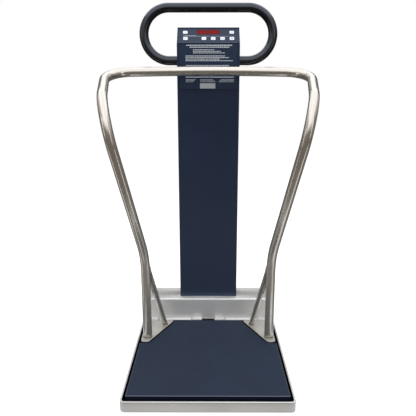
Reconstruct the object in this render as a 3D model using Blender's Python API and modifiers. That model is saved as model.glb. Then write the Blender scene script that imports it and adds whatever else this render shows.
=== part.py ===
"""Stand-on patient scale with a stainless grab rail, a display column and a push handle.

Metres, +Z up. The patient steps on from -Y and faces +Y, where the column stands. The origin is on the
floor, under the middle of the whole scale.
"""

import math

import bmesh
import bpy
from mathutils import Matrix, Vector

# Clearances
TOUCH_GAP = 0.0003
HOLE_GAP = 0.0004
CUT_OVERRUN = 0.004

# Platform that carries the patient
PLATFORM_WIDTH = 0.580
PLATFORM_DEPTH = 0.564
PLATFORM_CORNER = 0.004
MAT_THICKNESS = 0.004
MAT_EDGE = 0.0022
PLATE_THICKNESS = 0.003
PLATE_FLANGE_DEPTH = 0.018
PLATE_FLANGE_SHEET = 0.0025
LOAD_TRAVEL = 0.001

# Base frame round and under the platform
FLOOR_GAP = 0.003
FRAME_SHEET = 0.002
RIM_HEIGHT = 0.039
RIM_LIP = 0.006
RIM_LIP_THICKNESS = 0.003
RIM_GAP = 0.009
RIM_SIDE_GAP = 0.0125
RIM_CORNER = 0.016
RIM_EDGE = 0.0012
MAT_RISE = 0.0136
LEDGE_DEPTH = 0.022
LEDGE_GAP = 0.003
LEDGE_FLANGE = 0.0025
CABLE_SLOT_WIDTH = 0.058
CABLE_SLOT_DEPTH = 0.013

# Rubber feet under the frame
FOOT_RADIUS = 0.018
FOOT_PAD_EDGE = 0.001
FOOT_STEM_RADIUS = 0.004
FOOT_HEAD_RADIUS = 0.006
FOOT_HEAD_HEIGHT = 0.004
FOOT_INSET_X = 0.040
FOOT_INSET_FRONT = 0.045
FOOT_HOUSING_INSET_X = 0.035
FOOT_INSET_REAR = 0.109

# Load cells between the frame and the platform
CELL_LENGTH = 0.130
CELL_WIDTH = 0.030
CELL_HEIGHT = 0.022
CELL_SPACER = 0.0032
CELL_SPACER_LENGTH = 0.042
CELL_EYE_RADIUS = 0.0075
CELL_EYE_SPACING = 0.026
CELL_SLOT_HEIGHT = 0.006
CELL_INNER_END_X = 0.100
CELL_INSET_Y = 0.075
STUD_INSET = 0.015
STUD_RADIUS = 0.006
STUD_LENGTH = 0.009
STUD_COLLAR_RADIUS = 0.010
STUD_FLOOR_GAP = 0.001

# Rear housing that carries the column
HOUSING_WIDTH = 0.600
HOUSING_DEPTH = 0.133
HOUSING_TOP_Z = 0.153
HOUSING_SHEET = 0.002
HOUSING_BEND = 0.006
HOUSING_SEAT = 0.003

# Transport wheels at the back
WHEEL_OVERHANG = 0.026
WHEEL_RADIUS = 0.038
WHEEL_WIDTH = 0.026
WHEEL_INSET = 0.065
WHEEL_FLOOR_GAP = 0.003
WHEEL_CLEARANCE = 0.0045
WHEEL_SIDE_GAP = 0.0015
TYRE_THICKNESS = 0.010
TYRE_EDGE = 0.004
HUB_RECESS = 0.005
HUB_BOSS_RADIUS = 0.010
HUB_RIM = 0.004
AXLE_RADIUS = 0.004
AXLE_RUNNING_GAP = 0.0001
AXLE_HEAD_RADIUS = 0.0075
AXLE_HEAD_THICKNESS = 0.004
BRACKET_SHEET = 0.003
BRACKET_FLANGE = 0.014
BRACKET_DEPTH = 0.030
BRACKET_REAR_MARGIN = 0.0065

# Clips on the ledge that hold the platform down when the scale is tilted
CLIP_WIDTH = 0.052
CLIP_DEPTH = 0.017
CLIP_THICKNESS = 0.002
CLIP_TONGUE = 0.038
CLIP_REACH = 0.002
CLIP_STEP = 0.0016
CLIP_SCREW_INSET = 0.006
CLIP_INNER_OFFSET = 0.0485
CLIP_OUTER_INSET = 0.070
SCREW_HEAD_RADIUS = 0.0045
SCREW_HEAD_HEIGHT = 0.0026
SCREW_SHANK_RADIUS = 0.002
SCREW_LENGTH = 0.010
SCREW_SOCKET_RADIUS = 0.002
SCREW_SOCKET_DEPTH = 0.0012

# Gusset plates on the rear corners of the platform
GUSSET_THICKNESS = 0.005
GUSSET_WIDTH = 0.130
GUSSET_DEPTH = 0.196
GUSSET_INSET = 0.0025
GUSSET_FRONT_RADIUS = 0.017
GUSSET_INNER_RADIUS = 0.009
GUSSET_OUTER_RADIUS = 0.006
GUSSET_EDGE = 0.0008
GUSSET_MAT_GAP = 0.0060
GUSSET_SCREW_FRONT = (0.0275, 0.0165)
GUSSET_SCREW_INNER = (0.0150, 0.0145)

# Grab rail, as the corners of a bent tube: width from the middle, place behind the column face, height
RAIL_RADIUS = 0.01905
RAIL_WALL = 0.0015
RAIL_FOOT_X = 0.2624
RAIL_FOOT_BEHIND = -0.2086
RAIL_KNEE_Z = 0.4226
RAIL_SHOULDER_X = 0.3575
RAIL_SHOULDER_BEHIND = -0.4688
RAIL_SHOULDER_Z = 1.0342
RAIL_CORNER_X = 0.4193
RAIL_CORNER_BEHIND = -0.0693
RAIL_CORNER_Z = 1.1672
RAIL_TOP_BEHIND = -0.0393
RAIL_TOP_Z = 1.175
RAIL_KNEE_BEND = 0.314
RAIL_SHOULDER_BEND = 0.1554
RAIL_CORNER_BEND = 0.1005
RAIL_TOP_BEND = 2.0
BRACE_RADIUS = 0.0111
BRACE_WALL = 0.0015
BRACE_FOOT_X = 0.1965
BRACE_FOOT_BEHIND = -0.0960
BRACE_TOP_Z = 0.428

# Display column
COLUMN_SETBACK = 0.031
COLUMN_WIDTH = 0.264
COLUMN_DEPTH = 0.0746
COLUMN_SHEET = 0.002
COLUMN_EDGE = 0.004
COLUMN_BASE_HEIGHT = 0.015
COLUMN_BACK_FLANGE = 0.016
COLUMN_BEND_Z = 1.2852
COLUMN_SLOPE_RUN = 0.0648
COLUMN_SLOPE_RISE = 0.0658
COLUMN_TOP_LIP = 0.006
COVER_SHEET = 0.002
COVER_MARGIN = 0.001
CABLE_HOLE_X = 0.098
CABLE_HOLE_RADIUS = 0.008

# Label plate on the column and key panel on its slope
LABEL_WIDTH = 0.243
LABEL_LOWER_Z = 1.1005
LABEL_TOP_GAP = 0.004
LABEL_THICKNESS = 0.0015
PANEL_WIDTH = 0.254
PANEL_MARGIN = 0.002
PANEL_THICKNESS = 0.0025
PANEL_EDGE = 0.0005
PANEL_LAP = 0.009
WINDOW_WIDTH = 0.096
WINDOW_HEIGHT = 0.028
WINDOW_TOP_MARGIN = 0.0093
WINDOW_THICKNESS = 0.0024

# Keys
KEY_WIDTH = 0.0195
KEY_HEIGHT = 0.0180
KEY_CORNER = 0.0042
KEY_EDGE = 0.0007
KEY_PROUD = 0.0012
KEY_TRAVEL = 0.0008
KEY_FLANGE = 0.0012
KEY_FLANGE_THICKNESS = 0.001
KEY_STEM_SIDE = 0.005
KEY_STEM_LENGTH = 0.0033
KEY_UPPER_ROW = 0.0665
KEY_LOWER_ROW = 0.0278
KEY_UPPER_XS = (-0.0975, 0.0985)
KEY_LOWER_XS = (-0.0957, -0.0187, 0.0203, 0.0593, 0.0985)

# Boards, battery and socket inside the column
BOARD_THICKNESS = 0.0016
BOARD_POST_RADIUS = 0.002
BOARD_POST_INSET = 0.0028
DISPLAY_BOARD_WIDTH = 0.230
DISPLAY_BOARD_HEIGHT = 0.068
DISPLAY_BOARD_DEPTH = 0.0104
DISPLAY_BOARD_BASE = 0.0125
DIGIT_BLOCK_WIDTH = 0.088
DIGIT_BLOCK_HEIGHT = 0.020
DIGIT_BLOCK_GAP = 0.0015
SWITCH_SIDE = 0.006
SWITCH_CLEARANCE = 0.0004
MAIN_BOARD_WIDTH = 0.160
MAIN_BOARD_HEIGHT = 0.200
MAIN_BOARD_Z = 0.620
MAIN_BOARD_STANDOFF = 0.008
CHIP_SIDE = 0.022
CHIP_HEIGHT = 0.004
TRANSFORMER_WIDTH = 0.045
TRANSFORMER_HEIGHT = 0.040
TRANSFORMER_DEPTH = 0.030
CAPACITOR_RADIUS = 0.008
CAPACITOR_HEIGHT = 0.025
CONNECTOR_WIDTH = 0.020
CONNECTOR_HEIGHT = 0.010
CONNECTOR_DEPTH = 0.009
BOARD_PART_SPACING = 0.055
BATTERY_WIDTH = 0.150
BATTERY_DEPTH = 0.052
BATTERY_HEIGHT = 0.095
BATTERY_CORNER = 0.003
BATTERY_SHIFT_X = -0.022
SOCKET_X = 0.070
SOCKET_Z = 0.300
SOCKET_RADIUS = 0.0075
SOCKET_FLANGE_RADIUS = 0.011
SOCKET_FLANGE = 0.003
SOCKET_BODY = 0.014
SOCKET_NUT_RADIUS = 0.010
SOCKET_NUT = 0.003
SOCKET_BORE_RADIUS = 0.0042
SOCKET_BORE_DEPTH = 0.011

# Cable from the load cells to the main board
CABLE_RADIUS = 0.0025
CABLE_BEND = 0.022

# Push handle behind the console
HANDLE_WIDTH = 0.5974
HANDLE_HEIGHT = 0.2564
HANDLE_GRIP_RADIUS = 0.0197
HANDLE_TUBE_RADIUS = 0.0127
HANDLE_TUBE_WALL = 0.002
HANDLE_VENT_RADIUS = 0.002
HANDLE_TOP_Z = 1.4607
HANDLE_GRIP_END_X = 0.088
HANDLE_STANDOFF = 0.0022
CLAMP_X = 0.060
CLAMP_WIDTH = 0.036
CLAMP_WALL = 0.008
CLAMP_SLIT = 0.002
CLAMP_EDGE = 0.0015

# Smoothness of round shapes: number of sides, or steps in a bend
RAIL_SIDES = 16
BORE_SIDES = 8
RING_SIDES = 16
BRACE_SIDES = 14
ROUND_STEPS = 24
SMALL_ROUND_STEPS = 16
EDGE_STEPS = 3
BEND_STEP_DEG = 9.0
SHARP_ANGLE_DEG = 35.0
MERGE_DISTANCE = 0.00001

# Places along Y, from the front of the rim to the back of the wheels
OVERALL_DEPTH = RIM_LIP + RIM_GAP + PLATFORM_DEPTH + LEDGE_DEPTH + HOUSING_DEPTH + WHEEL_OVERHANG
FRONT_Y = -OVERALL_DEPTH / 2
PLATFORM_FRONT_Y = FRONT_Y + RIM_LIP + RIM_GAP
PLATFORM_REAR_Y = PLATFORM_FRONT_Y + PLATFORM_DEPTH
LEDGE_FRONT_Y = PLATFORM_REAR_Y + LEDGE_GAP
HOUSING_FRONT_Y = PLATFORM_REAR_Y + LEDGE_DEPTH
HOUSING_BACK_Y = HOUSING_FRONT_Y + HOUSING_DEPTH
COLUMN_FACE_Y = HOUSING_FRONT_Y + COLUMN_SETBACK
COLUMN_BACK_Y = COLUMN_FACE_Y + COLUMN_DEPTH
COVER_INNER_Y = COLUMN_BACK_Y - COVER_SHEET
SHELL_BACK_Y = COVER_INNER_Y - TOUCH_GAP
AXLE_Y = HOUSING_BACK_Y + WHEEL_OVERHANG - WHEEL_RADIUS

# Levels along Z
FRAME_BOTTOM_Z = FLOOR_GAP
FRAME_FLOOR_Z = FRAME_BOTTOM_Z + FRAME_SHEET
RIM_TOP_Z = FRAME_BOTTOM_Z + RIM_HEIGHT
MAT_TOP_Z = RIM_TOP_Z + MAT_RISE
LEDGE_TOP_Z = MAT_TOP_Z
PLATE_TOP_Z = MAT_TOP_Z - MAT_THICKNESS - TOUCH_GAP
PLATE_UNDER_Z = PLATE_TOP_Z - PLATE_THICKNESS
PLATE_LOWER_Z = PLATE_TOP_Z - PLATE_FLANGE_DEPTH
CELL_BOTTOM_Z = FRAME_FLOOR_Z + TOUCH_GAP + CELL_SPACER
CELL_TOP_Z = CELL_BOTTOM_Z + CELL_HEIGHT
GUSSET_BOTTOM_Z = PLATE_TOP_Z + TOUCH_GAP
GUSSET_TOP_Z = GUSSET_BOTTOM_Z + GUSSET_THICKNESS
RAIL_FOOT_Z = GUSSET_TOP_Z + TOUCH_GAP
HOUSING_BOTTOM_Z = LEDGE_TOP_Z + TOUCH_GAP
COLUMN_BASE_Z = HOUSING_TOP_Z + TOUCH_GAP
COLUMN_BOTTOM_Z = COLUMN_BASE_Z + COLUMN_BASE_HEIGHT + TOUCH_GAP
COLUMN_SLOPE_TOP_Z = COLUMN_BEND_Z + COLUMN_SLOPE_RISE
COLUMN_TOP_Z = COLUMN_SLOPE_TOP_Z + COLUMN_TOP_LIP
AXLE_Z = WHEEL_RADIUS + WHEEL_FLOOR_GAP

# Widths across X
BASE_WIDTH = PLATFORM_WIDTH + 2 * (RIM_SIDE_GAP + RIM_LIP)
WHEEL_X = HOUSING_WIDTH / 2 - WHEEL_INSET

# The slope's own frame: X across, Y up along the slope, Z out of it, zero at the bend
SLOPE_LENGTH = math.hypot(COLUMN_SLOPE_RUN, COLUMN_SLOPE_RISE)
SLOPE_ALONG = Vector((0, COLUMN_SLOPE_RUN / SLOPE_LENGTH, COLUMN_SLOPE_RISE / SLOPE_LENGTH))
SLOPE_OUT = Vector((0, -SLOPE_ALONG.z, SLOPE_ALONG.y))
SLOPE_FRAME = Matrix.Translation((0, COLUMN_FACE_Y, COLUMN_BEND_Z)) @ Matrix((
    (1, 0, 0, 0),
    (0, SLOPE_ALONG.y, SLOPE_OUT.y, 0),
    (0, SLOPE_ALONG.z, SLOPE_OUT.z, 0),
    (0, 0, 0, 1),
))
PANEL_TOP = TOUCH_GAP + PANEL_THICKNESS

# The handle's ring lies in one upright plane behind the column
HANDLE_Y = COLUMN_BACK_Y + HANDLE_STANDOFF + HANDLE_GRIP_RADIUS
HANDLE_BEND = HANDLE_HEIGHT / 2 - HANDLE_GRIP_RADIUS
HANDLE_MID_Z = HANDLE_TOP_Z - HANDLE_HEIGHT / 2
HANDLE_LOW_Z = HANDLE_MID_Z - HANDLE_BEND
HANDLE_END_X = HANDLE_WIDTH / 2 - HANDLE_HEIGHT / 2

SIDES = (("left", -1), ("right", 1))
ENDS = (("front", 1), ("rear", -1))


def start_scene():
    """Empties the scene and makes the two collections."""
    for obj in list(bpy.data.objects):
        bpy.data.objects.remove(obj, do_unlink=True)
    for name in ("patient_scale", "cutters"):
        bpy.context.scene.collection.children.link(bpy.data.collections.new(name))


def place_in(obj, collection_name):
    """Moves an object into one collection."""
    for old in list(obj.users_collection):
        old.objects.unlink(obj)
    bpy.data.collections[collection_name].objects.link(obj)


def make_material(name, colour, roughness, metallic=0.0, alpha=1.0):
    material = bpy.data.materials.new(name)
    material.use_nodes = True
    shader = material.node_tree.nodes["Principled BSDF"]
    shader.inputs["Base Color"].default_value = (*colour, 1.0)
    shader.inputs["Roughness"].default_value = roughness
    shader.inputs["Metallic"].default_value = metallic
    shader.inputs["Alpha"].default_value = alpha
    material.diffuse_color = (*colour, alpha)
    return material


def finish_part(obj, name, material, smooth=True):
    """Names a finished sub-part, gives it its material and files it."""
    obj.name = name
    obj.data.name = name
    obj.data.materials.clear()
    obj.data.materials.append(material)
    if smooth:
        obj.data.shade_smooth()
        obj.data.set_sharp_from_angle(angle=math.radians(SHARP_ANGLE_DEG))
    place_in(obj, "patient_scale")
    return obj


def as_cutter(obj):
    """Files an object as a guide for Boolean modifiers."""
    obj.hide_render = True
    obj.display_type = "WIRE"
    place_in(obj, "cutters")
    return obj


def combine(obj, other, operation):
    """Adds one Boolean modifier that uses another object."""
    as_cutter(other)
    modifier = obj.modifiers.new(operation.lower(), "BOOLEAN")
    modifier.operation = operation
    modifier.object = other
    modifier.solver = "EXACT"
    return obj


def cut(obj, *cutters):
    for cutter in cutters:
        combine(obj, cutter, "DIFFERENCE")
    return obj


def join(obj, *others):
    for other in others:
        combine(obj, other, "UNION")
    return obj


def bevel(obj, width, steps=EDGE_STEPS, angle_deg=SHARP_ANGLE_DEG):
    """Rounds every edge sharper than the angle."""
    modifier = obj.modifiers.new("bevel", "BEVEL")
    modifier.width = width
    modifier.segments = steps
    modifier.limit_method = "ANGLE"
    modifier.angle_limit = math.radians(angle_deg)
    return obj


def round_edges(obj, width, along, steps=EDGE_STEPS, keep=None):
    """Rounds the edges of a box that run along one axis and that keep() accepts."""
    mesh = bmesh.new()
    mesh.from_mesh(obj.data)
    chosen = []
    for edge in mesh.edges:
        start, end = (vert.co for vert in edge.verts)
        direction = (end - start).normalized()
        if abs(direction[along]) < math.cos(math.radians(SHARP_ANGLE_DEG)):
            continue
        if keep is None or keep((start + end) / 2):
            chosen.append(edge)
    bmesh.ops.bevel(mesh, geom=chosen, offset=width, segments=steps, profile=0.5, affect="EDGES")
    mesh.to_mesh(obj.data)
    mesh.free()
    return obj


def box(low, high, frame=None):
    """A box between two corners, in the world or in another frame."""
    low, high = Vector(low), Vector(high)
    bpy.ops.mesh.primitive_cube_add(size=1)
    obj = bpy.context.object
    size = high - low
    obj.data.transform(Matrix.Diagonal((*size, 1.0)))
    placing = Matrix.Translation((low + high) / 2)
    obj.matrix_world = placing if frame is None else frame @ placing
    return obj


def along_axis(axis):
    """The turn that lays a shape made along +Z along another axis."""
    return Vector((0, 0, 1)).rotation_difference(Vector(axis)).to_matrix().to_4x4()


def rod(radius, start, end, sides=ROUND_STEPS):
    """A plain cylinder between two points."""
    start, end = Vector(start), Vector(end)
    bpy.ops.mesh.primitive_cylinder_add(radius=radius, depth=(end - start).length, vertices=sides)
    obj = bpy.context.object
    obj.matrix_world = Matrix.Translation((start + end) / 2) @ along_axis(end - start)
    return obj


def turned(profile, frame, steps=ROUND_STEPS):
    """A turned shape about the frame's Z axis, from (radius, height) pairs that run top to bottom."""
    mesh = bpy.data.meshes.new("profile")
    points = [(radius, 0, height) for radius, height in profile]
    mesh.from_pydata(points, [(i, i + 1) for i in range(len(points) - 1)], [])
    obj = bpy.data.objects.new("turned", mesh)
    bpy.context.scene.collection.objects.link(obj)
    screw = obj.modifiers.new("screw", "SCREW")
    screw.axis = "Z"
    screw.steps = steps
    screw.render_steps = steps
    screw.use_merge_vertices = True
    screw.merge_threshold = MERGE_DISTANCE
    obj.matrix_world = frame
    return obj


def mesh_from_curve(curve_object):
    """Turns a curve object into a mesh object with its caps welded on."""
    bpy.context.view_layer.update()
    evaluated = curve_object.evaluated_get(bpy.context.evaluated_depsgraph_get())
    mesh = bpy.data.meshes.new_from_object(evaluated)
    welded = bmesh.new()
    welded.from_mesh(mesh)
    bmesh.ops.remove_doubles(welded, verts=welded.verts, dist=MERGE_DISTANCE)
    bmesh.ops.recalc_face_normals(welded, faces=welded.faces)
    welded.to_mesh(mesh)
    welded.free()
    obj = bpy.data.objects.new(curve_object.name, mesh)
    bpy.context.scene.collection.objects.link(obj)
    obj.matrix_world = curve_object.matrix_world.copy()
    bpy.data.objects.remove(curve_object, do_unlink=True)
    return obj


def curve_through(points, cyclic):
    """A 3D or flat curve object with one straight-segment spline through the points."""
    curve = bpy.data.curves.new("outline", "CURVE")
    spline = curve.splines.new("POLY")
    spline.points.add(len(points) - 1)
    for point, place in zip(spline.points, points):
        point.co = (*place, 1.0)
    spline.use_cyclic_u = cyclic
    curve.render_resolution_u = 0
    obj = bpy.data.objects.new("outline", curve)
    bpy.context.scene.collection.objects.link(obj)
    return obj


def tube(points, radius, sides, cyclic=False):
    """A round solid bar along the points."""
    obj = curve_through(points, cyclic)
    obj.data.dimensions = "3D"
    obj.data.twist_mode = "MINIMUM"
    obj.data.bevel_depth = radius
    obj.data.bevel_resolution = sides // 2 - 2
    obj.data.use_fill_caps = not cyclic
    return mesh_from_curve(obj)


def plate(outline, low, high, frame=None):
    """A flat plate between two heights, from an outline in the frame's XY plane."""
    obj = curve_through([(x, y, 0) for x, y in outline], True)
    obj.data.dimensions = "2D"
    obj.data.fill_mode = "BOTH"
    obj.data.extrude = (high - low) / 2
    placing = Matrix.Translation((0, 0, (low + high) / 2))
    obj.matrix_world = placing if frame is None else frame @ placing
    return mesh_from_curve(obj)


def rounded(corners, radii, steps=EDGE_STEPS):
    """A closed flat outline with each corner rounded by its own radius."""
    outline = []
    count = len(corners)
    for i, (corner, radius) in enumerate(zip(corners, radii)):
        here = Vector(corner)
        before = (Vector(corners[i - 1]) - here).normalized()
        after = (Vector(corners[(i + 1) % count]) - here).normalized()
        outline.extend(tuple(p) for p in arc_at(here, before, after, radius, steps))
    return outline


def arc_at(corner, before, after, radius, steps):
    """Points of the arc that rounds a corner between two unit directions, in 2D or 3D."""
    if radius <= 0:
        return [corner]
    opening = before.angle(after)
    reach = radius / math.tan(opening / 2)
    centre = corner + (before + after).normalized() * (radius / math.sin(opening / 2))
    first = corner + before * reach - centre
    last = corner + after * reach - centre
    turn = math.pi - opening
    points = []
    for k in range(steps + 1):
        share = k / steps
        weight_first = math.sin((1 - share) * turn) / math.sin(turn)
        weight_last = math.sin(share * turn) / math.sin(turn)
        points.append(centre + first * weight_first + last * weight_last)
    return points


def bent_path(corners, radii):
    """The centre line of a bent tube: straight runs joined by arcs."""
    points = [Vector(corners[0])]
    for i, radius in enumerate(radii, start=1):
        here = Vector(corners[i])
        before = (Vector(corners[i - 1]) - here).normalized()
        after = (Vector(corners[i + 1]) - here).normalized()
        turn_deg = 180.0 - math.degrees(before.angle(after))
        steps = max(2, math.ceil(turn_deg / BEND_STEP_DEG))
        points.extend(arc_at(here, before, after, radius, steps))
    points.append(Vector(corners[-1]))
    return points


def lengthened(points, extra):
    """The same path with both ends pushed outward."""
    first = points[0] + (points[0] - points[1]).normalized() * extra
    last = points[-1] + (points[-1] - points[-2]).normalized() * extra
    return [first, *points[1:-1], last]


def hollow_tube(points, radius, wall, sides):
    """An open-ended tube along the points."""
    outer = tube(points, radius, sides)
    return cut(outer, tube(lengthened(points, wall), radius - wall, BORE_SIDES))


def mirrored_pair(sign, low_x, high_x):
    """Low and high X of a span on the left or right side."""
    return (low_x, high_x) if sign > 0 else (-high_x, -low_x)


def make_materials():
    return {
        "brushed_steel": make_material("brushed_steel", (0.47, 0.46, 0.44), 0.34, 1.0),
        "rail_steel": make_material("rail_steel", (0.42, 0.40, 0.36), 0.24, 1.0),
        "navy_paint": make_material("navy_paint", (0.017, 0.028, 0.060), 0.42),
        "navy_panel": make_material("navy_panel", (0.055, 0.085, 0.130), 0.35),
        "mat_rubber": make_material("mat_rubber", (0.036, 0.043, 0.070), 0.75),
        "column_foot": make_material("column_foot", (0.055, 0.085, 0.130), 0.40),
        "black_grip": make_material("black_grip", (0.006, 0.006, 0.008), 0.30),
        "clamp_black": make_material("clamp_black", (0.012, 0.012, 0.014), 0.45),
        "black_rubber": make_material("black_rubber", (0.012, 0.012, 0.012), 0.80),
        "aluminium": make_material("aluminium", (0.60, 0.61, 0.62), 0.40, 1.0),
        "key_plastic": make_material("key_plastic", (0.76, 0.79, 0.84), 0.40),
        "red_window": make_material("red_window", (0.25, 0.008, 0.008), 0.12),
        "circuit_board": make_material("circuit_board", (0.015, 0.120, 0.050), 0.50),
        "battery_wrap": make_material("battery_wrap", (0.030, 0.055, 0.150), 0.45),
        "hub_plastic": make_material("hub_plastic", (0.110, 0.115, 0.125), 0.50),
        "socket_plastic": make_material("socket_plastic", (0.020, 0.020, 0.022), 0.45),
        "cable_sheath": make_material("cable_sheath", (0.030, 0.030, 0.032), 0.55),
    }


def frame_shell():
    """The tray with its rolled rim, and the taller rear channel with its ledge."""
    half = BASE_WIDTH / 2
    tray = box((-half, FRONT_Y, FRAME_BOTTOM_Z), (half, HOUSING_BACK_Y, RIM_TOP_Z))
    round_edges(tray, RIM_CORNER, 2, steps=5)
    bevel(tray, RIM_EDGE, steps=2)
    channel_half = HOUSING_WIDTH / 2
    channel = box((-channel_half, LEDGE_FRONT_Y, FRAME_BOTTOM_Z + RIM_EDGE),
                  (channel_half, HOUSING_BACK_Y - RIM_EDGE, LEDGE_TOP_Z))
    round_edges(channel, HOUSING_BEND, 2, keep=lambda middle: middle.y > 0)
    join(tray, channel)

    wall_half = half - FRAME_SHEET
    lip_half = half - RIM_LIP
    tray_hollow = box((-wall_half, FRONT_Y + FRAME_SHEET, FRAME_FLOOR_Z),
                      (wall_half, LEDGE_FRONT_Y, RIM_TOP_Z - RIM_LIP_THICKNESS))
    round_edges(tray_hollow, RIM_CORNER - FRAME_SHEET, 2, keep=lambda middle: middle.y < 0)
    tray_mouth = box((-lip_half, FRONT_Y + RIM_LIP, FRAME_FLOOR_Z + FRAME_SHEET),
                     (lip_half, LEDGE_FRONT_Y, RIM_TOP_Z + CUT_OVERRUN))
    mouth_corner = RIM_CORNER - RIM_LIP
    round_edges(tray_mouth, mouth_corner, 2, keep=lambda middle: middle.y < 0)
    channel_inner = channel_half - FRAME_SHEET
    channel_hollow = box((-channel_inner, LEDGE_FRONT_Y + FRAME_SHEET, FRAME_FLOOR_Z),
                         (channel_inner, HOUSING_BACK_Y - FRAME_SHEET - RIM_EDGE, LEDGE_TOP_Z - LEDGE_FLANGE))
    round_edges(channel_hollow, HOUSING_BEND - FRAME_SHEET, 2, keep=lambda middle: middle.y > 0)
    seat = HOUSING_SHEET + HOUSING_SEAT
    seat_half = channel_half - seat
    channel_mouth = box((-seat_half, HOUSING_FRONT_Y + seat, FRAME_FLOOR_Z + FRAME_SHEET),
                        (seat_half, HOUSING_BACK_Y - seat, LEDGE_TOP_Z + CUT_OVERRUN))
    return cut(tray, tray_hollow, tray_mouth, channel_hollow, channel_mouth)


def wheel_bay(sign, top_z):
    """The space that a wheel turns in, as a cutter."""
    reach = WHEEL_WIDTH / 2 + WHEEL_SIDE_GAP
    low_x, high_x = mirrored_pair(sign, WHEEL_X - reach, WHEEL_X + reach)
    return box((low_x, AXLE_Y - WHEEL_RADIUS - WHEEL_CLEARANCE, -CUT_OVERRUN),
               (high_x, HOUSING_BACK_Y + CUT_OVERRUN, top_z))


def foot_places():
    """Where the rubber feet stand, as (name, x, y)."""
    rows = (
        ("front", BASE_WIDTH / 2 - FOOT_INSET_X, FRONT_Y + FOOT_INSET_FRONT),
        ("rear", HOUSING_WIDTH / 2 - FOOT_HOUSING_INSET_X, HOUSING_BACK_Y - FOOT_INSET_REAR),
    )
    return [(f"{row}_{side}", sign * x, y) for row, x, y in rows for side, sign in SIDES]


def clip_places():
    """Where the hold-down clips lie, as (name, screw x, direction of the tongue)."""
    inner_x = CABLE_SLOT_WIDTH / 2 + CLIP_INNER_OFFSET
    outer_x = HOUSING_WIDTH / 2 - CLIP_OUTER_INSET
    places = []
    for side, sign in SIDES:
        places.append((f"inner_{side}", sign * inner_x, -sign))
        places.append((f"outer_{side}", sign * outer_x, sign))
    return places


def clip_screw_y():
    return LEDGE_FRONT_Y + (HOUSING_FRONT_Y - LEDGE_FRONT_Y) / 2


def build_base(materials):
    frame = frame_shell()
    slot_half = CABLE_SLOT_WIDTH / 2
    cut(frame, box((-slot_half, LEDGE_FRONT_Y - CUT_OVERRUN, FRAME_FLOOR_Z + FRAME_SHEET),
                   (slot_half, LEDGE_FRONT_Y + CABLE_SLOT_DEPTH, LEDGE_TOP_Z + CUT_OVERRUN)))
    for _, sign in SIDES:
        cut(frame, wheel_bay(sign, LEDGE_TOP_Z + CUT_OVERRUN))
    for _, x, y in foot_places():
        cut(frame, rod(FOOT_STEM_RADIUS + HOLE_GAP, (x, y, FRAME_BOTTOM_Z - CUT_OVERRUN),
                       (x, y, FRAME_FLOOR_Z + CUT_OVERRUN), SMALL_ROUND_STEPS))
    for _, x, _ in clip_places():
        cut(frame, rod(SCREW_SHANK_RADIUS + HOLE_GAP, (x, clip_screw_y(), LEDGE_TOP_Z - 2 * LEDGE_FLANGE),
                       (x, clip_screw_y(), LEDGE_TOP_Z + CUT_OVERRUN), SMALL_ROUND_STEPS))
    finish_part(frame, "base_frame", materials["brushed_steel"])

    for name, x, y in foot_places():
        head_bottom = FRAME_FLOOR_Z + TOUCH_GAP
        pad_top = FRAME_BOTTOM_Z - TOUCH_GAP
        profile = [
            (0, head_bottom + FOOT_HEAD_HEIGHT),
            (FOOT_STEM_RADIUS, head_bottom + FOOT_HEAD_HEIGHT),
            (FOOT_HEAD_RADIUS, head_bottom),
            (FOOT_STEM_RADIUS, head_bottom),
            (FOOT_STEM_RADIUS, pad_top),
            (FOOT_RADIUS - FOOT_PAD_EDGE, pad_top),
            (FOOT_RADIUS, pad_top - FOOT_PAD_EDGE),
            (FOOT_RADIUS, FOOT_PAD_EDGE),
            (FOOT_RADIUS - FOOT_PAD_EDGE, 0),
            (0, 0),
        ]
        foot = turned(profile, Matrix.Translation((x, y, 0)), SMALL_ROUND_STEPS)
        finish_part(foot, f"rubber_foot_{name}", materials["black_rubber"])


def cell_row_y(end_sign):
    """Y of a row of load cells; end_sign is 1 for the front row and -1 for the rear row."""
    edge = PLATFORM_FRONT_Y if end_sign > 0 else PLATFORM_REAR_Y
    return edge + end_sign * CELL_INSET_Y


def stud_x(side_sign):
    return side_sign * (CELL_INNER_END_X + CELL_LENGTH - STUD_INSET)


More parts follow.
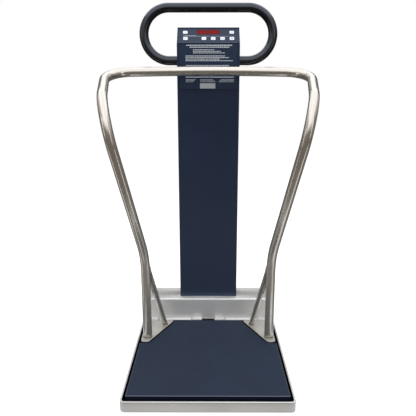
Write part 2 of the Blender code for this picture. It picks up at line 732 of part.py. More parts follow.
def build_load_cells(materials):
    """Bending beams: the inner end stands on the frame, and a stud of the platform loads the outer end."""
    for row, end_sign in ENDS:
        y = cell_row_y(end_sign)
        for side, sign in SIDES:
            low_x, high_x = mirrored_pair(sign, CELL_INNER_END_X, CELL_INNER_END_X + CELL_LENGTH)
            low_y, high_y = y - CELL_WIDTH / 2, y + CELL_WIDTH / 2
            cell = box((low_x, low_y, CELL_BOTTOM_Z), (high_x, high_y, CELL_TOP_Z))
            foot_end_x = CELL_INNER_END_X + CELL_SPACER_LENGTH
            foot_low_x, foot_high_x = mirrored_pair(sign, CELL_INNER_END_X, foot_end_x)
            join(cell, box((foot_low_x, low_y, FRAME_FLOOR_Z + TOUCH_GAP),
                           (foot_high_x, high_y, CELL_BOTTOM_Z + CELL_SPACER)))
            eye_x = sign * (CELL_INNER_END_X + CELL_LENGTH / 2)
            eye_z = (CELL_BOTTOM_Z + CELL_TOP_Z) / 2
            for step in (-1, 1):
                x = eye_x + step * CELL_EYE_SPACING / 2
                cut(cell, rod(CELL_EYE_RADIUS, (x, low_y - CUT_OVERRUN, eye_z),
                              (x, high_y + CUT_OVERRUN, eye_z), SMALL_ROUND_STEPS))
            cut(cell, box((eye_x - CELL_EYE_SPACING / 2, low_y - CUT_OVERRUN, eye_z - CELL_SLOT_HEIGHT / 2),
                          (eye_x + CELL_EYE_SPACING / 2, high_y + CUT_OVERRUN, eye_z + CELL_SLOT_HEIGHT / 2)))
            hole_bottom = CELL_TOP_Z - STUD_LENGTH - LOAD_TRAVEL - STUD_FLOOR_GAP
            cut(cell, rod(STUD_RADIUS + HOLE_GAP, (stud_x(sign), y, hole_bottom),
                          (stud_x(sign), y, CELL_TOP_Z + CUT_OVERRUN), SMALL_ROUND_STEPS))
            finish_part(cell, f"load_cell_{row}_{side}", materials["aluminium"])


def grown(corners, amount):
    """The corners of a convex outline with every side moved outward."""
    moved = []
    for i, corner in enumerate(corners):
        here = Vector(corner)
        before = (Vector(corners[i - 1]) - here).normalized()
        after = (Vector(corners[(i + 1) % len(corners)]) - here).normalized()
        moved.append(here - (before + after).normalized() * (amount / math.sin(before.angle(after) / 2)))
    return moved


def gusset_outline(sign, grow=0.0):
    """The triangle of a gusset plate, or a larger one that leaves a gap round it."""
    outer_x = PLATFORM_WIDTH / 2 - GUSSET_INSET
    rear_y = PLATFORM_REAR_Y - GUSSET_INSET
    inner_x = outer_x - GUSSET_WIDTH
    front_y = rear_y - GUSSET_DEPTH
    corners = [
        (outer_x, rear_y),
        (inner_x, rear_y),
        (outer_x - 2 * GUSSET_FRONT_RADIUS, front_y),
        (outer_x, front_y),
    ]
    radii = [GUSSET_OUTER_RADIUS, GUSSET_INNER_RADIUS, GUSSET_FRONT_RADIUS, GUSSET_FRONT_RADIUS]
    placed = grown([(sign * x, y) for x, y in corners], grow)
    return rounded(placed, [radius + grow for radius in radii], steps=5)


def gusset_screw_places(sign):
    """Screws near the front and the inner tip of a gusset plate."""
    outer_x = PLATFORM_WIDTH / 2 - GUSSET_INSET
    rear_y = PLATFORM_REAR_Y - GUSSET_INSET
    front_in, front_up = GUSSET_SCREW_FRONT
    inner_in, inner_down = GUSSET_SCREW_INNER
    front = (sign * (outer_x - front_in), rear_y - GUSSET_DEPTH + front_up)
    inner = (sign * (outer_x - GUSSET_WIDTH + inner_in), rear_y - inner_down)
    return (("front", *front), ("inner", *inner))


def build_screw(name, x, y, seat_z, material):
    """A pan-head screw with a round socket, standing in a hole below its seat."""
    under_head = seat_z + TOUCH_GAP
    head_top = under_head + SCREW_HEAD_HEIGHT
    profile = [
        (0, head_top - SCREW_SOCKET_DEPTH),
        (SCREW_SOCKET_RADIUS, head_top - SCREW_SOCKET_DEPTH),
        (SCREW_SOCKET_RADIUS, head_top),
        (SCREW_HEAD_RADIUS - SCREW_HEAD_HEIGHT / 2, head_top),
        (SCREW_HEAD_RADIUS, head_top - SCREW_HEAD_HEIGHT / 2),
        (SCREW_HEAD_RADIUS, under_head),
        (SCREW_SHANK_RADIUS, under_head),
        (SCREW_SHANK_RADIUS, under_head - SCREW_LENGTH),
        (0, under_head - SCREW_LENGTH),
    ]
    screw = turned(profile, Matrix.Translation((x, y, 0)), SMALL_ROUND_STEPS)
    finish_part(screw, name, material)


def screw_hole(x, y, low_z, high_z):
    return rod(SCREW_SHANK_RADIUS + HOLE_GAP, (x, y, low_z - CUT_OVERRUN), (x, y, high_z + CUT_OVERRUN),
               SMALL_ROUND_STEPS)


def build_platform(materials):
    half = PLATFORM_WIDTH / 2
    tray = box((-half, PLATFORM_FRONT_Y, PLATE_LOWER_Z), (half, PLATFORM_REAR_Y, PLATE_TOP_Z))
    round_edges(tray, PLATFORM_CORNER, 2)
    inner = half - PLATE_FLANGE_SHEET
    cut(tray, box((-inner, PLATFORM_FRONT_Y + PLATE_FLANGE_SHEET, PLATE_LOWER_Z - CUT_OVERRUN),
                  (inner, PLATFORM_REAR_Y - PLATE_FLANGE_SHEET, PLATE_UNDER_Z)))
    collar_bottom = CELL_TOP_Z + LOAD_TRAVEL + TOUCH_GAP
    for _, end_sign in ENDS:
        for _, sign in SIDES:
            x, y = stud_x(sign), cell_row_y(end_sign)
            collar_top = PLATE_UNDER_Z + PLATE_THICKNESS / 2
            join(tray, rod(STUD_COLLAR_RADIUS, (x, y, collar_bottom), (x, y, collar_top), SMALL_ROUND_STEPS))
            join(tray, rod(STUD_RADIUS, (x, y, CELL_TOP_Z - STUD_LENGTH),
                           (x, y, collar_bottom + TOUCH_GAP), SMALL_ROUND_STEPS))
    mat = box((-half, PLATFORM_FRONT_Y, PLATE_TOP_Z + TOUCH_GAP), (half, PLATFORM_REAR_Y, MAT_TOP_Z))
    round_edges(mat, PLATFORM_CORNER, 2)
    cut_low = PLATE_TOP_Z - CUT_OVERRUN
    cut_high = MAT_TOP_Z + CUT_OVERRUN
    edge_x = half - GUSSET_OUTER_RADIUS - GUSSET_INSET
    edge_y = PLATFORM_REAR_Y - GUSSET_DEPTH + GUSSET_FRONT_RADIUS
    for side, sign in SIDES:
        corner_cut = plate(gusset_outline(sign, GUSSET_MAT_GAP), cut_low, cut_high)
        edge_low, edge_high = mirrored_pair(sign, edge_x, half + CUT_OVERRUN)
        side_cut = box((edge_low, edge_y, cut_low), (edge_high, PLATFORM_REAR_Y + CUT_OVERRUN, cut_high))
        cut(mat, corner_cut, side_cut)
        gusset = plate(gusset_outline(sign), GUSSET_BOTTOM_Z, GUSSET_TOP_Z)
        bevel(gusset, GUSSET_EDGE, steps=1)
        for place, x, y in gusset_screw_places(sign):
            cut(gusset, screw_hole(x, y, GUSSET_BOTTOM_Z, GUSSET_TOP_Z))
            cut(tray, screw_hole(x, y, PLATE_UNDER_Z, PLATE_TOP_Z))
            build_screw(f"gusset_screw_{place}_{side}", x, y, GUSSET_TOP_Z, materials["rail_steel"])
        finish_part(gusset, f"gusset_plate_{side}", materials["brushed_steel"])
    bevel(mat, MAT_EDGE, steps=2)
    finish_part(tray, "load_plate", materials["navy_paint"])
    finish_part(mat, "platform_mat", materials["mat_rubber"])


def rail_corners():
    """Corners of the left half of the grab rail, from its foot to the middle of the top bar."""
    foot_y = COLUMN_FACE_Y + RAIL_FOOT_BEHIND
    return [
        (-RAIL_FOOT_X, foot_y, RAIL_FOOT_Z),
        (-RAIL_FOOT_X, foot_y, RAIL_KNEE_Z),
        (-RAIL_SHOULDER_X, COLUMN_FACE_Y + RAIL_SHOULDER_BEHIND, RAIL_SHOULDER_Z),
        (-RAIL_CORNER_X, COLUMN_FACE_Y + RAIL_CORNER_BEHIND, RAIL_CORNER_Z),
        (0, COLUMN_FACE_Y + RAIL_TOP_BEHIND, RAIL_TOP_Z),
    ]


def rail_path():
    left = rail_corners()
    right = [(-x, y, z) for x, y, z in reversed(left[:-1])]
    bends = [RAIL_KNEE_BEND, RAIL_SHOULDER_BEND, RAIL_CORNER_BEND]
    return bent_path(left + right, [*bends, RAIL_TOP_BEND, *reversed(bends)])


def point_at_height(path, height, sign):
    """The point of the left or right leg's centre line at a height."""
    for start, end in zip(path, path[1:]):
        if start.z <= height <= end.z:
            point = start.lerp(end, (height - start.z) / (end.z - start.z))
            return Vector((-sign * point.x, point.y, point.z))
    raise ValueError("the rail doesn't reach this height")


def build_rail(materials):
    path = rail_path()
    finish_part(hollow_tube(path, RAIL_RADIUS, RAIL_WALL, RAIL_SIDES), "grab_rail", materials["rail_steel"])
    rail_space = as_cutter(tube(path, RAIL_RADIUS + TOUCH_GAP, RAIL_SIDES))
    for side, sign in SIDES:
        foot = Vector((sign * BRACE_FOOT_X, COLUMN_FACE_Y + BRACE_FOOT_BEHIND, RAIL_FOOT_Z))
        top = point_at_height(path, BRACE_TOP_Z, sign)
        slant = (top - foot).normalized()
        start = foot - slant * (2 * BRACE_RADIUS)
        brace = rod(BRACE_RADIUS, start, top, BRACE_SIDES)
        overrun = slant * CUT_OVERRUN
        cut(brace, rod(BRACE_RADIUS - BRACE_WALL, start - overrun, top + overrun, BORE_SIDES))
        reach = 4 * BRACE_RADIUS
        cut(brace, box((foot.x - reach, foot.y - reach, foot.z - reach),
                       (foot.x + reach, foot.y + reach, foot.z)))
        cut(brace, rail_space)
        finish_part(brace, f"rail_brace_{side}", materials["rail_steel"])


def build_clips(materials):
    for name, screw_x, tongue_sign in clip_places():
        screw_y = clip_screw_y()
        foot_end = screw_x - tongue_sign * CLIP_SCREW_INSET
        far_end = foot_end + tongue_sign * CLIP_WIDTH
        tongue_end = far_end - tongue_sign * CLIP_TONGUE
        low_z = LEDGE_TOP_Z + TOUCH_GAP
        back_y = HOUSING_FRONT_Y - TOUCH_GAP
        clip = box((min(foot_end, far_end), back_y - CLIP_DEPTH, low_z),
                   (max(foot_end, far_end), back_y, low_z + CLIP_THICKNESS))
        join(clip, box((min(tongue_end, far_end), LEDGE_FRONT_Y - LEDGE_GAP - CLIP_REACH, low_z),
                       (max(tongue_end, far_end), back_y - TOUCH_GAP, low_z + CLIP_THICKNESS + CLIP_STEP)))
        cut(clip, screw_hole(screw_x, screw_y, low_z, low_z + CLIP_THICKNESS))
        finish_part(clip, f"hold_down_clip_{name}", materials["brushed_steel"], smooth=False)
        build_screw(f"clip_screw_{name}", screw_x, screw_y, low_z + CLIP_THICKNESS, materials["rail_steel"])


def build_housing(materials):
    half = HOUSING_WIDTH / 2
    housing = box((-half, HOUSING_FRONT_Y, HOUSING_BOTTOM_Z), (half, HOUSING_BACK_Y, HOUSING_TOP_Z))
    lower = -(HOUSING_TOP_Z - HOUSING_BOTTOM_Z) / 2
    shell = bmesh.new()
    shell.from_mesh(housing.data)
    rounded_edges = [e for e in shell.edges if max(v.co.z for v in e.verts) > 0]
    bmesh.ops.bevel(shell, geom=rounded_edges, offset=HOUSING_BEND, segments=4, profile=0.5, affect="EDGES")
    bottom = [f for f in shell.faces if all(v.co.z < lower + MERGE_DISTANCE for v in f.verts)]
    bmesh.ops.delete(shell, geom=bottom, context="FACES")
    shell.to_mesh(housing.data)
    shell.free()
    solidify = housing.modifiers.new("sheet", "SOLIDIFY")
    solidify.thickness = HOUSING_SHEET
    solidify.offset = -1
    for _, sign in SIDES:
        cut(housing, wheel_bay(sign, AXLE_Z + WHEEL_RADIUS + WHEEL_CLEARANCE))
    cable_y = (COLUMN_FACE_Y + COVER_INNER_Y) / 2
    cut(housing, rod(CABLE_HOLE_RADIUS, (CABLE_HOLE_X, cable_y, HOUSING_TOP_Z - 2 * HOUSING_SHEET),
                     (CABLE_HOLE_X, cable_y, HOUSING_TOP_Z + CUT_OVERRUN), SMALL_ROUND_STEPS))
    finish_part(housing, "rear_housing", materials["brushed_steel"])


def wheel_frame(sign):
    """Axes of a wheel: Z points outward along the axle."""
    return Matrix.Translation((sign * WHEEL_X, AXLE_Y, AXLE_Z)) @ along_axis((sign, 0, 0))


def build_wheels(materials):
    half = WHEEL_WIDTH / 2
    cheek = half + WHEEL_SIDE_GAP + TOUCH_GAP
    for side, sign in SIDES:
        frame = wheel_frame(sign)
        inner = WHEEL_RADIUS - TYRE_THICKNESS
        tyre_profile = [
            (inner, half),
            (WHEEL_RADIUS - TYRE_EDGE, half),
            (WHEEL_RADIUS, half - TYRE_EDGE),
            (WHEEL_RADIUS, TYRE_EDGE - half),
            (WHEEL_RADIUS - TYRE_EDGE, -half),
            (inner, -half),
            (inner, half),
        ]
        finish_part(turned(tyre_profile, frame), f"wheel_tyre_{side}", materials["black_rubber"])

        rim = inner - TOUCH_GAP
        web = half - HUB_RECESS
        bore = AXLE_RADIUS + AXLE_RUNNING_GAP
        hub_profile = [
            (bore, half),
            (HUB_BOSS_RADIUS, half),
            (HUB_BOSS_RADIUS, web),
            (rim - HUB_RIM, web),
            (rim - HUB_RIM, half),
            (rim, half),
            (rim, -half),
            (rim - HUB_RIM, -half),
            (rim - HUB_RIM, -web),
            (HUB_BOSS_RADIUS, -web),
            (HUB_BOSS_RADIUS, -half),
            (bore, -half),
            (bore, half),
        ]
        finish_part(turned(hub_profile, frame), f"wheel_hub_{side}", materials["hub_plastic"])

        outside = cheek + BRACKET_SHEET + TOUCH_GAP
        axle_profile = [
            (0, outside + AXLE_HEAD_THICKNESS),
            (AXLE_HEAD_RADIUS, outside + AXLE_HEAD_THICKNESS),
            (AXLE_HEAD_RADIUS, outside),
            (AXLE_RADIUS, outside),
            (AXLE_RADIUS, -outside),
            (AXLE_HEAD_RADIUS, -outside),
            (AXLE_HEAD_RADIUS, -outside - AXLE_HEAD_THICKNESS),
            (0, -outside - AXLE_HEAD_THICKNESS),
        ]
        axle = turned(axle_profile, frame, SMALL_ROUND_STEPS)
        finish_part(axle, f"wheel_axle_{side}", materials["rail_steel"])
        build_bracket(side, sign, cheek, materials)


def build_bracket(side, sign, cheek, materials):
    """A bent strip over the wheel, with a flange on the frame's floor at each side."""
    foot_z = FRAME_FLOOR_Z + TOUCH_GAP
    bridge_z = AXLE_Z + WHEEL_RADIUS + WHEEL_CLEARANCE + TOUCH_GAP
    outer = cheek + BRACKET_SHEET
    far = outer + BRACKET_FLANGE
    half_outline = [
        (far, foot_z),
        (far, foot_z + BRACKET_SHEET),
        (outer, foot_z + BRACKET_SHEET),
        (outer, bridge_z + BRACKET_SHEET),
    ]
    inner_outline = [(cheek, foot_z), (cheek, bridge_z)]
    outline = half_outline + [(-x, z) for x, z in reversed(half_outline)]
    outline += [(-x, z) for x, z in inner_outline] + list(reversed(inner_outline))
    rear_y = AXLE_Y + BRACKET_REAR_MARGIN
    upright = Matrix.Translation((sign * WHEEL_X, 0, 0)) @ Matrix.Rotation(math.radians(90), 4, "X")
    bracket = plate(outline, -rear_y, BRACKET_DEPTH - rear_y, upright)
    low_x = sign * WHEEL_X - outer - CUT_OVERRUN
    high_x = sign * WHEEL_X + outer + CUT_OVERRUN
    bore = AXLE_RADIUS + HOLE_GAP
    cut(bracket, rod(bore, (low_x, AXLE_Y, AXLE_Z), (high_x, AXLE_Y, AXLE_Z), SMALL_ROUND_STEPS))
    finish_part(bracket, f"wheel_bracket_{side}", materials["brushed_steel"], smooth=False)


def side_profile(inset, bottom_z):
    """The column seen from the side, as (y, z), moved inward by the sheet."""
    lean = math.atan2(COLUMN_SLOPE_RUN, COLUMN_SLOPE_RISE)
    face = COLUMN_FACE_Y + inset
    lip_y = COLUMN_FACE_Y + COLUMN_SLOPE_RUN + inset
    slope_drop = inset * math.tan(lean / 2)
    lip_drop = inset / math.sin(lean) - inset / math.tan(lean)
    top = COLUMN_TOP_Z - inset
    return [
        (face, bottom_z),
        (face, COLUMN_BEND_Z - slope_drop),
        (lip_y, COLUMN_SLOPE_TOP_Z - slope_drop - lip_drop + inset * math.tan(lean / 2)),
        (lip_y, top),
    ]


def prism_across(profile, low_x, high_x):
    """A prism with a (y, z) outline, between two places across the column."""
    turn = Matrix(((0, 0, 1, 0), (1, 0, 0, 0), (0, 1, 0, 0), (0, 0, 0, 1)))
    return plate(profile, low_x, high_x, turn)


def build_column(materials):
    half = COLUMN_WIDTH / 2
    inner_half = half - COLUMN_SHEET
    cable_y = (COLUMN_FACE_Y + COVER_INNER_Y) / 2

    base = box((-half, COLUMN_FACE_Y, COLUMN_BASE_Z),
               (half, COLUMN_BACK_Y, COLUMN_BASE_Z + COLUMN_BASE_HEIGHT))
    round_edges(base, COLUMN_EDGE, 2, keep=lambda middle: middle.y < 0)
    cut(base, rod(CABLE_HOLE_RADIUS, (CABLE_HOLE_X, cable_y, COLUMN_BASE_Z - CUT_OVERRUN),
                  (CABLE_HOLE_X, cable_y, COLUMN_BOTTOM_Z + CUT_OVERRUN), SMALL_ROUND_STEPS))
    finish_part(base, "column_base", materials["column_foot"])

    outside = side_profile(0, COLUMN_BOTTOM_Z)
    outside += [(SHELL_BACK_Y, COLUMN_TOP_Z), (SHELL_BACK_Y, COLUMN_BOTTOM_Z)]
    shell = prism_across(outside, -half, half)
    bevel_front_edges(shell)
    inside = side_profile(COLUMN_SHEET, COLUMN_BOTTOM_Z - CUT_OVERRUN)
    flange_y = SHELL_BACK_Y - COLUMN_SHEET
    inside += [(flange_y, COLUMN_TOP_Z - COLUMN_SHEET), (flange_y, COLUMN_BOTTOM_Z - CUT_OVERRUN)]
    mouth_half = half - COLUMN_BACK_FLANGE
    mouth = box((-mouth_half, flange_y - COLUMN_SHEET, COLUMN_BOTTOM_Z - CUT_OVERRUN),
                (mouth_half, SHELL_BACK_Y + CUT_OVERRUN, COLUMN_SLOPE_TOP_Z))
    slope_half = PANEL_WIDTH / 2 - PANEL_LAP
    slope_top = SLOPE_LENGTH - PANEL_LAP + COLUMN_SHEET
    slope_mouth = box((-slope_half, PANEL_LAP, -3 * COLUMN_SHEET),
                      (slope_half, slope_top, CUT_OVERRUN), SLOPE_FRAME)
    cut(shell, prism_across(inside, -inner_half, inner_half), mouth, slope_mouth)
    finish_part(shell, "column_shell", materials["navy_paint"])

    cover_half = half - COVER_MARGIN
    cover = box((-cover_half, COVER_INNER_Y, COLUMN_BOTTOM_Z),
                (cover_half, COLUMN_BACK_Y, COLUMN_TOP_Z - COVER_MARGIN))
    cut(cover, rod(SOCKET_RADIUS + HOLE_GAP, (SOCKET_X, COVER_INNER_Y - CUT_OVERRUN, SOCKET_Z),
                   (SOCKET_X, COLUMN_BACK_Y + CUT_OVERRUN, SOCKET_Z), SMALL_ROUND_STEPS))
    finish_part(cover, "column_cover", materials["navy_paint"])

    label_half = LABEL_WIDTH / 2
    label_back = COLUMN_FACE_Y - TOUCH_GAP
    label = box((-label_half, label_back - LABEL_THICKNESS, LABEL_LOWER_Z),
                (label_half, label_back, COLUMN_BEND_Z - LABEL_TOP_GAP))
    bevel(label, PANEL_EDGE, steps=1)
    finish_part(label, "label_plate", materials["navy_panel"])


def bevel_front_edges(shell):
    """Rounds the two long front corners of the column, up the slope as well."""
    mesh = bmesh.new()
    mesh.from_mesh(shell.data)
    to_world = shell.matrix_world
    half = COLUMN_WIDTH / 2
    back_limit = SHELL_BACK_Y - COLUMN_EDGE
    chosen = []
    for edge in mesh.edges:
        start, end = (to_world @ vert.co for vert in edge.verts)
        at_side = abs(abs(start.x) - half) < MERGE_DISTANCE and abs(start.x - end.x) < MERGE_DISTANCE
        corner = edge.calc_face_angle(0.0) > math.radians(SHARP_ANGLE_DEG)
        rising = end.z - start.z if end.z > start.z else start.z - end.z
        if at_side and corner and rising > COLUMN_TOP_LIP and max(start.y, end.y) < back_limit:
            chosen.append(edge)
    bmesh.ops.bevel(mesh, geom=chosen, offset=COLUMN_EDGE, segments=EDGE_STEPS, profile=0.5, affect="EDGES")
    mesh.to_mesh(shell.data)
    mesh.free()


def key_places():
    """The keys by row, as (name, x, place up the slope)."""
    places = [(f"key_upper_{i}", x, KEY_UPPER_ROW) for i, x in enumerate(KEY_UPPER_XS, start=1)]
    places += [(f"key_lower_{i}", x, KEY_LOWER_ROW) for i, x in enumerate(KEY_LOWER_XS, start=1)]
    return places


def slope_block(x, up, width, height, low, high):
    """A box on the slope, centred at a place and between two heights out of it."""
    return box((x - width / 2, up - height / 2, low), (x + width / 2, up + height / 2, high), SLOPE_FRAME)


def key_block(x, up, grow, low, high):
    """A key's rounded outline on the slope, larger all round by grow."""
    block = slope_block(x, up, KEY_WIDTH + 2 * grow, KEY_HEIGHT + 2 * grow, low, high)
    return round_edges(block, KEY_CORNER + grow, 2)


def window_middle():
    return SLOPE_LENGTH - WINDOW_TOP_MARGIN - WINDOW_HEIGHT / 2


def build_console(materials):
    panel_middle = SLOPE_LENGTH / 2
    panel = slope_block(0, panel_middle, PANEL_WIDTH, SLOPE_LENGTH - 2 * PANEL_MARGIN, TOUCH_GAP, PANEL_TOP)
    bevel(panel, PANEL_EDGE, steps=1)
    hole_width = WINDOW_WIDTH + 2 * TOUCH_GAP
    hole_height = WINDOW_HEIGHT + 2 * TOUCH_GAP
    hole_top = PANEL_TOP + CUT_OVERRUN
    cut(panel, slope_block(0, window_middle(), hole_width, hole_height, -CUT_OVERRUN, hole_top))
    for name, x, up in key_places():
        cut(panel, key_block(x, up, HOLE_GAP, -CUT_OVERRUN, PANEL_TOP + CUT_OVERRUN))
        key = key_block(x, up, 0, -KEY_FLANGE_THICKNESS / 2, PANEL_TOP + KEY_PROUD)
        bevel(key, KEY_EDGE, steps=1)
        flange = key_block(x, up, KEY_FLANGE, -KEY_FLANGE_THICKNESS, 0)
        stem = slope_block(x, up, KEY_STEM_SIDE, KEY_STEM_SIDE, -KEY_FLANGE_THICKNESS - KEY_STEM_LENGTH,
                           -KEY_FLANGE_THICKNESS / 2)
        join(key, flange, stem)
        finish_part(key, name, materials["key_plastic"])
    finish_part(panel, "key_panel", materials["navy_panel"])

    window_under = PANEL_TOP - WINDOW_THICKNESS
    window = slope_block(0, window_middle(), WINDOW_WIDTH, WINDOW_HEIGHT, window_under, PANEL_TOP)
    bevel(window, PANEL_EDGE, steps=1)
    finish_part(window, "display_window", materials["red_window"])

    top = -DISPLAY_BOARD_DEPTH
    middle = DISPLAY_BOARD_BASE + DISPLAY_BOARD_HEIGHT / 2
    board = slope_block(0, middle, DISPLAY_BOARD_WIDTH, DISPLAY_BOARD_HEIGHT, top - BOARD_THICKNESS, top)
    sunk = top - BOARD_THICKNESS / 2
    join(board, slope_block(0, window_middle(), DIGIT_BLOCK_WIDTH, DIGIT_BLOCK_HEIGHT, sunk,
                            window_under - DIGIT_BLOCK_GAP))
    switch_top = -KEY_FLANGE_THICKNESS - KEY_STEM_LENGTH - KEY_TRAVEL - SWITCH_CLEARANCE
    for _, x, up in key_places():
        join(board, slope_block(x, up, SWITCH_SIDE, SWITCH_SIDE, sunk, switch_top))
    for x_sign in (-1, 1):
        for up_sign in (-1, 1):
            x = x_sign * (DISPLAY_BOARD_WIDTH / 2 - BOARD_POST_INSET)
            up = middle + up_sign * (DISPLAY_BOARD_HEIGHT / 2 - BOARD_POST_INSET)
            foot = SLOPE_FRAME @ Vector((x, up, sunk))
            head = SLOPE_FRAME @ Vector((x, up, 0))
            join(board, rod(BOARD_POST_RADIUS, foot, head, BORE_SIDES))
    finish_part(board, "display_board", materials["circuit_board"])


def build_main_board(materials):
    back = COVER_INNER_Y - TOUCH_GAP
    board_back = back - MAIN_BOARD_STANDOFF
    board_front = board_back - BOARD_THICKNESS
    half = MAIN_BOARD_WIDTH / 2
    top_z = MAIN_BOARD_Z + MAIN_BOARD_HEIGHT
    board = box((-half, board_front, MAIN_BOARD_Z), (half, board_back, top_z))
    sunk = board_back - BOARD_THICKNESS / 2
    for x_sign in (-1, 1):
        for z in (MAIN_BOARD_Z + BOARD_POST_INSET, top_z - BOARD_POST_INSET):
            x = x_sign * (half - BOARD_POST_INSET)
            join(board, rod(BOARD_POST_RADIUS, (x, sunk, z), (x, back, z), BORE_SIDES))
    middle_z = (MAIN_BOARD_Z + top_z) / 2

    def mount(x, z, width, height, depth):
        half_width, half_height = width / 2, height / 2
        return box((x - half_width, board_front - depth, z - half_height),
                   (x + half_width, sunk, z + half_height))

    join(board, mount(-BOARD_PART_SPACING / 2, middle_z + BOARD_PART_SPACING,
                      TRANSFORMER_WIDTH, TRANSFORMER_HEIGHT, TRANSFORMER_DEPTH))
    join(board, mount(0, middle_z, CHIP_SIDE, CHIP_SIDE, CHIP_HEIGHT))
    connector_x, connector_z = main_connector()
    join(board, mount(connector_x, connector_z, CONNECTOR_WIDTH, CONNECTOR_HEIGHT, CONNECTOR_DEPTH))
    for x_sign in (-1, 1):
        x = x_sign * BOARD_PART_SPACING
        z = middle_z - BOARD_PART_SPACING / 2
        far_y = board_front - CAPACITOR_HEIGHT
        join(board, rod(CAPACITOR_RADIUS, (x, sunk, z), (x, far_y, z), SMALL_ROUND_STEPS))
    finish_part(board, "main_board", materials["circuit_board"])


def main_connector():
    """Where the cable's connector sits on the main board, as (x, z)."""
    return MAIN_BOARD_WIDTH / 2 - BOARD_PART_SPACING / 2, MAIN_BOARD_Z + BOARD_PART_SPACING / 2


def build_battery(materials):
    low_z = COLUMN_BASE_Z + COLUMN_BASE_HEIGHT + TOUCH_GAP
    front_y = COLUMN_FACE_Y + COLUMN_SHEET + TOUCH_GAP + BATTERY_CORNER
    half = BATTERY_WIDTH / 2
    battery = box((BATTERY_SHIFT_X - half, front_y, low_z),
                  (BATTERY_SHIFT_X + half, front_y + BATTERY_DEPTH, low_z + BATTERY_HEIGHT))
    bevel(battery, BATTERY_CORNER, steps=2)
    finish_part(battery, "battery_pack", materials["battery_wrap"])


def build_socket(materials):
    outward = Matrix.Translation((SOCKET_X, COLUMN_BACK_Y, SOCKET_Z)) @ along_axis((0, 1, 0))
    face = TOUCH_GAP + SOCKET_FLANGE
    inner_face = -COVER_SHEET - TOUCH_GAP
    profile = [
        (0, face - SOCKET_BORE_DEPTH),
        (SOCKET_BORE_RADIUS, face - SOCKET_BORE_DEPTH),
        (SOCKET_BORE_RADIUS, face),
        (SOCKET_FLANGE_RADIUS, face),
        (SOCKET_FLANGE_RADIUS, TOUCH_GAP),
        (SOCKET_RADIUS, TOUCH_GAP),
        (SOCKET_RADIUS, inner_face),
        (SOCKET_NUT_RADIUS, inner_face),
        (SOCKET_NUT_RADIUS, inner_face - SOCKET_NUT),
        (SOCKET_RADIUS, inner_face - SOCKET_NUT),
        (SOCKET_RADIUS, face - SOCKET_BODY),
        (0, face - SOCKET_BODY),
    ]
    finish_part(turned(profile, outward, ROUND_STEPS), "charger_socket", materials["socket_plastic"])


def build_cable(materials):
    """From the rear right load cell, along the frame's floor, up the column to the main board."""
    lie_z = FRAME_FLOOR_Z + FRAME_SHEET + TOUCH_GAP + CABLE_RADIUS
    cell_y = cell_row_y(-1)
    cable_y = (COLUMN_FACE_Y + COVER_INNER_Y) / 2
    connector_x, connector_z = main_connector()
    connector_y = COVER_INNER_Y - TOUCH_GAP - MAIN_BOARD_STANDOFF - BOARD_THICKNESS - CONNECTOR_DEPTH / 2
    end_z = connector_z - CONNECTOR_HEIGHT / 2 - TOUCH_GAP
    corners = [
        (CELL_INNER_END_X - TOUCH_GAP, cell_y, lie_z),
        (0, cell_y, lie_z),
        (0, cable_y, lie_z),
        (CABLE_HOLE_X, cable_y, lie_z),
        (CABLE_HOLE_X, cable_y, end_z - 4 * CABLE_BEND),
        (connector_x, connector_y, end_z - CABLE_BEND),
        (connector_x, connector_y, end_z),
    ]
    path = bent_path(corners, [CABLE_BEND] * (len(corners) - 2))
    finish_part(tube(path, CABLE_RADIUS, BORE_SIDES), "cell_cable", materials["cable_sheath"])


def handle_arc(centre_x, start_deg, end_deg):
    """Points of a half ring at one end of the handle."""
    steps = math.ceil(abs(end_deg - start_deg) / BEND_STEP_DEG / 1.25)
    points = []
    for k in range(steps + 1):
        angle = math.radians(start_deg + (end_deg - start_deg) * k / steps)
        points.append(Vector((centre_x + HANDLE_BEND * math.cos(angle), HANDLE_Y,
                              HANDLE_MID_Z + HANDLE_BEND * math.sin(angle))))
    return points


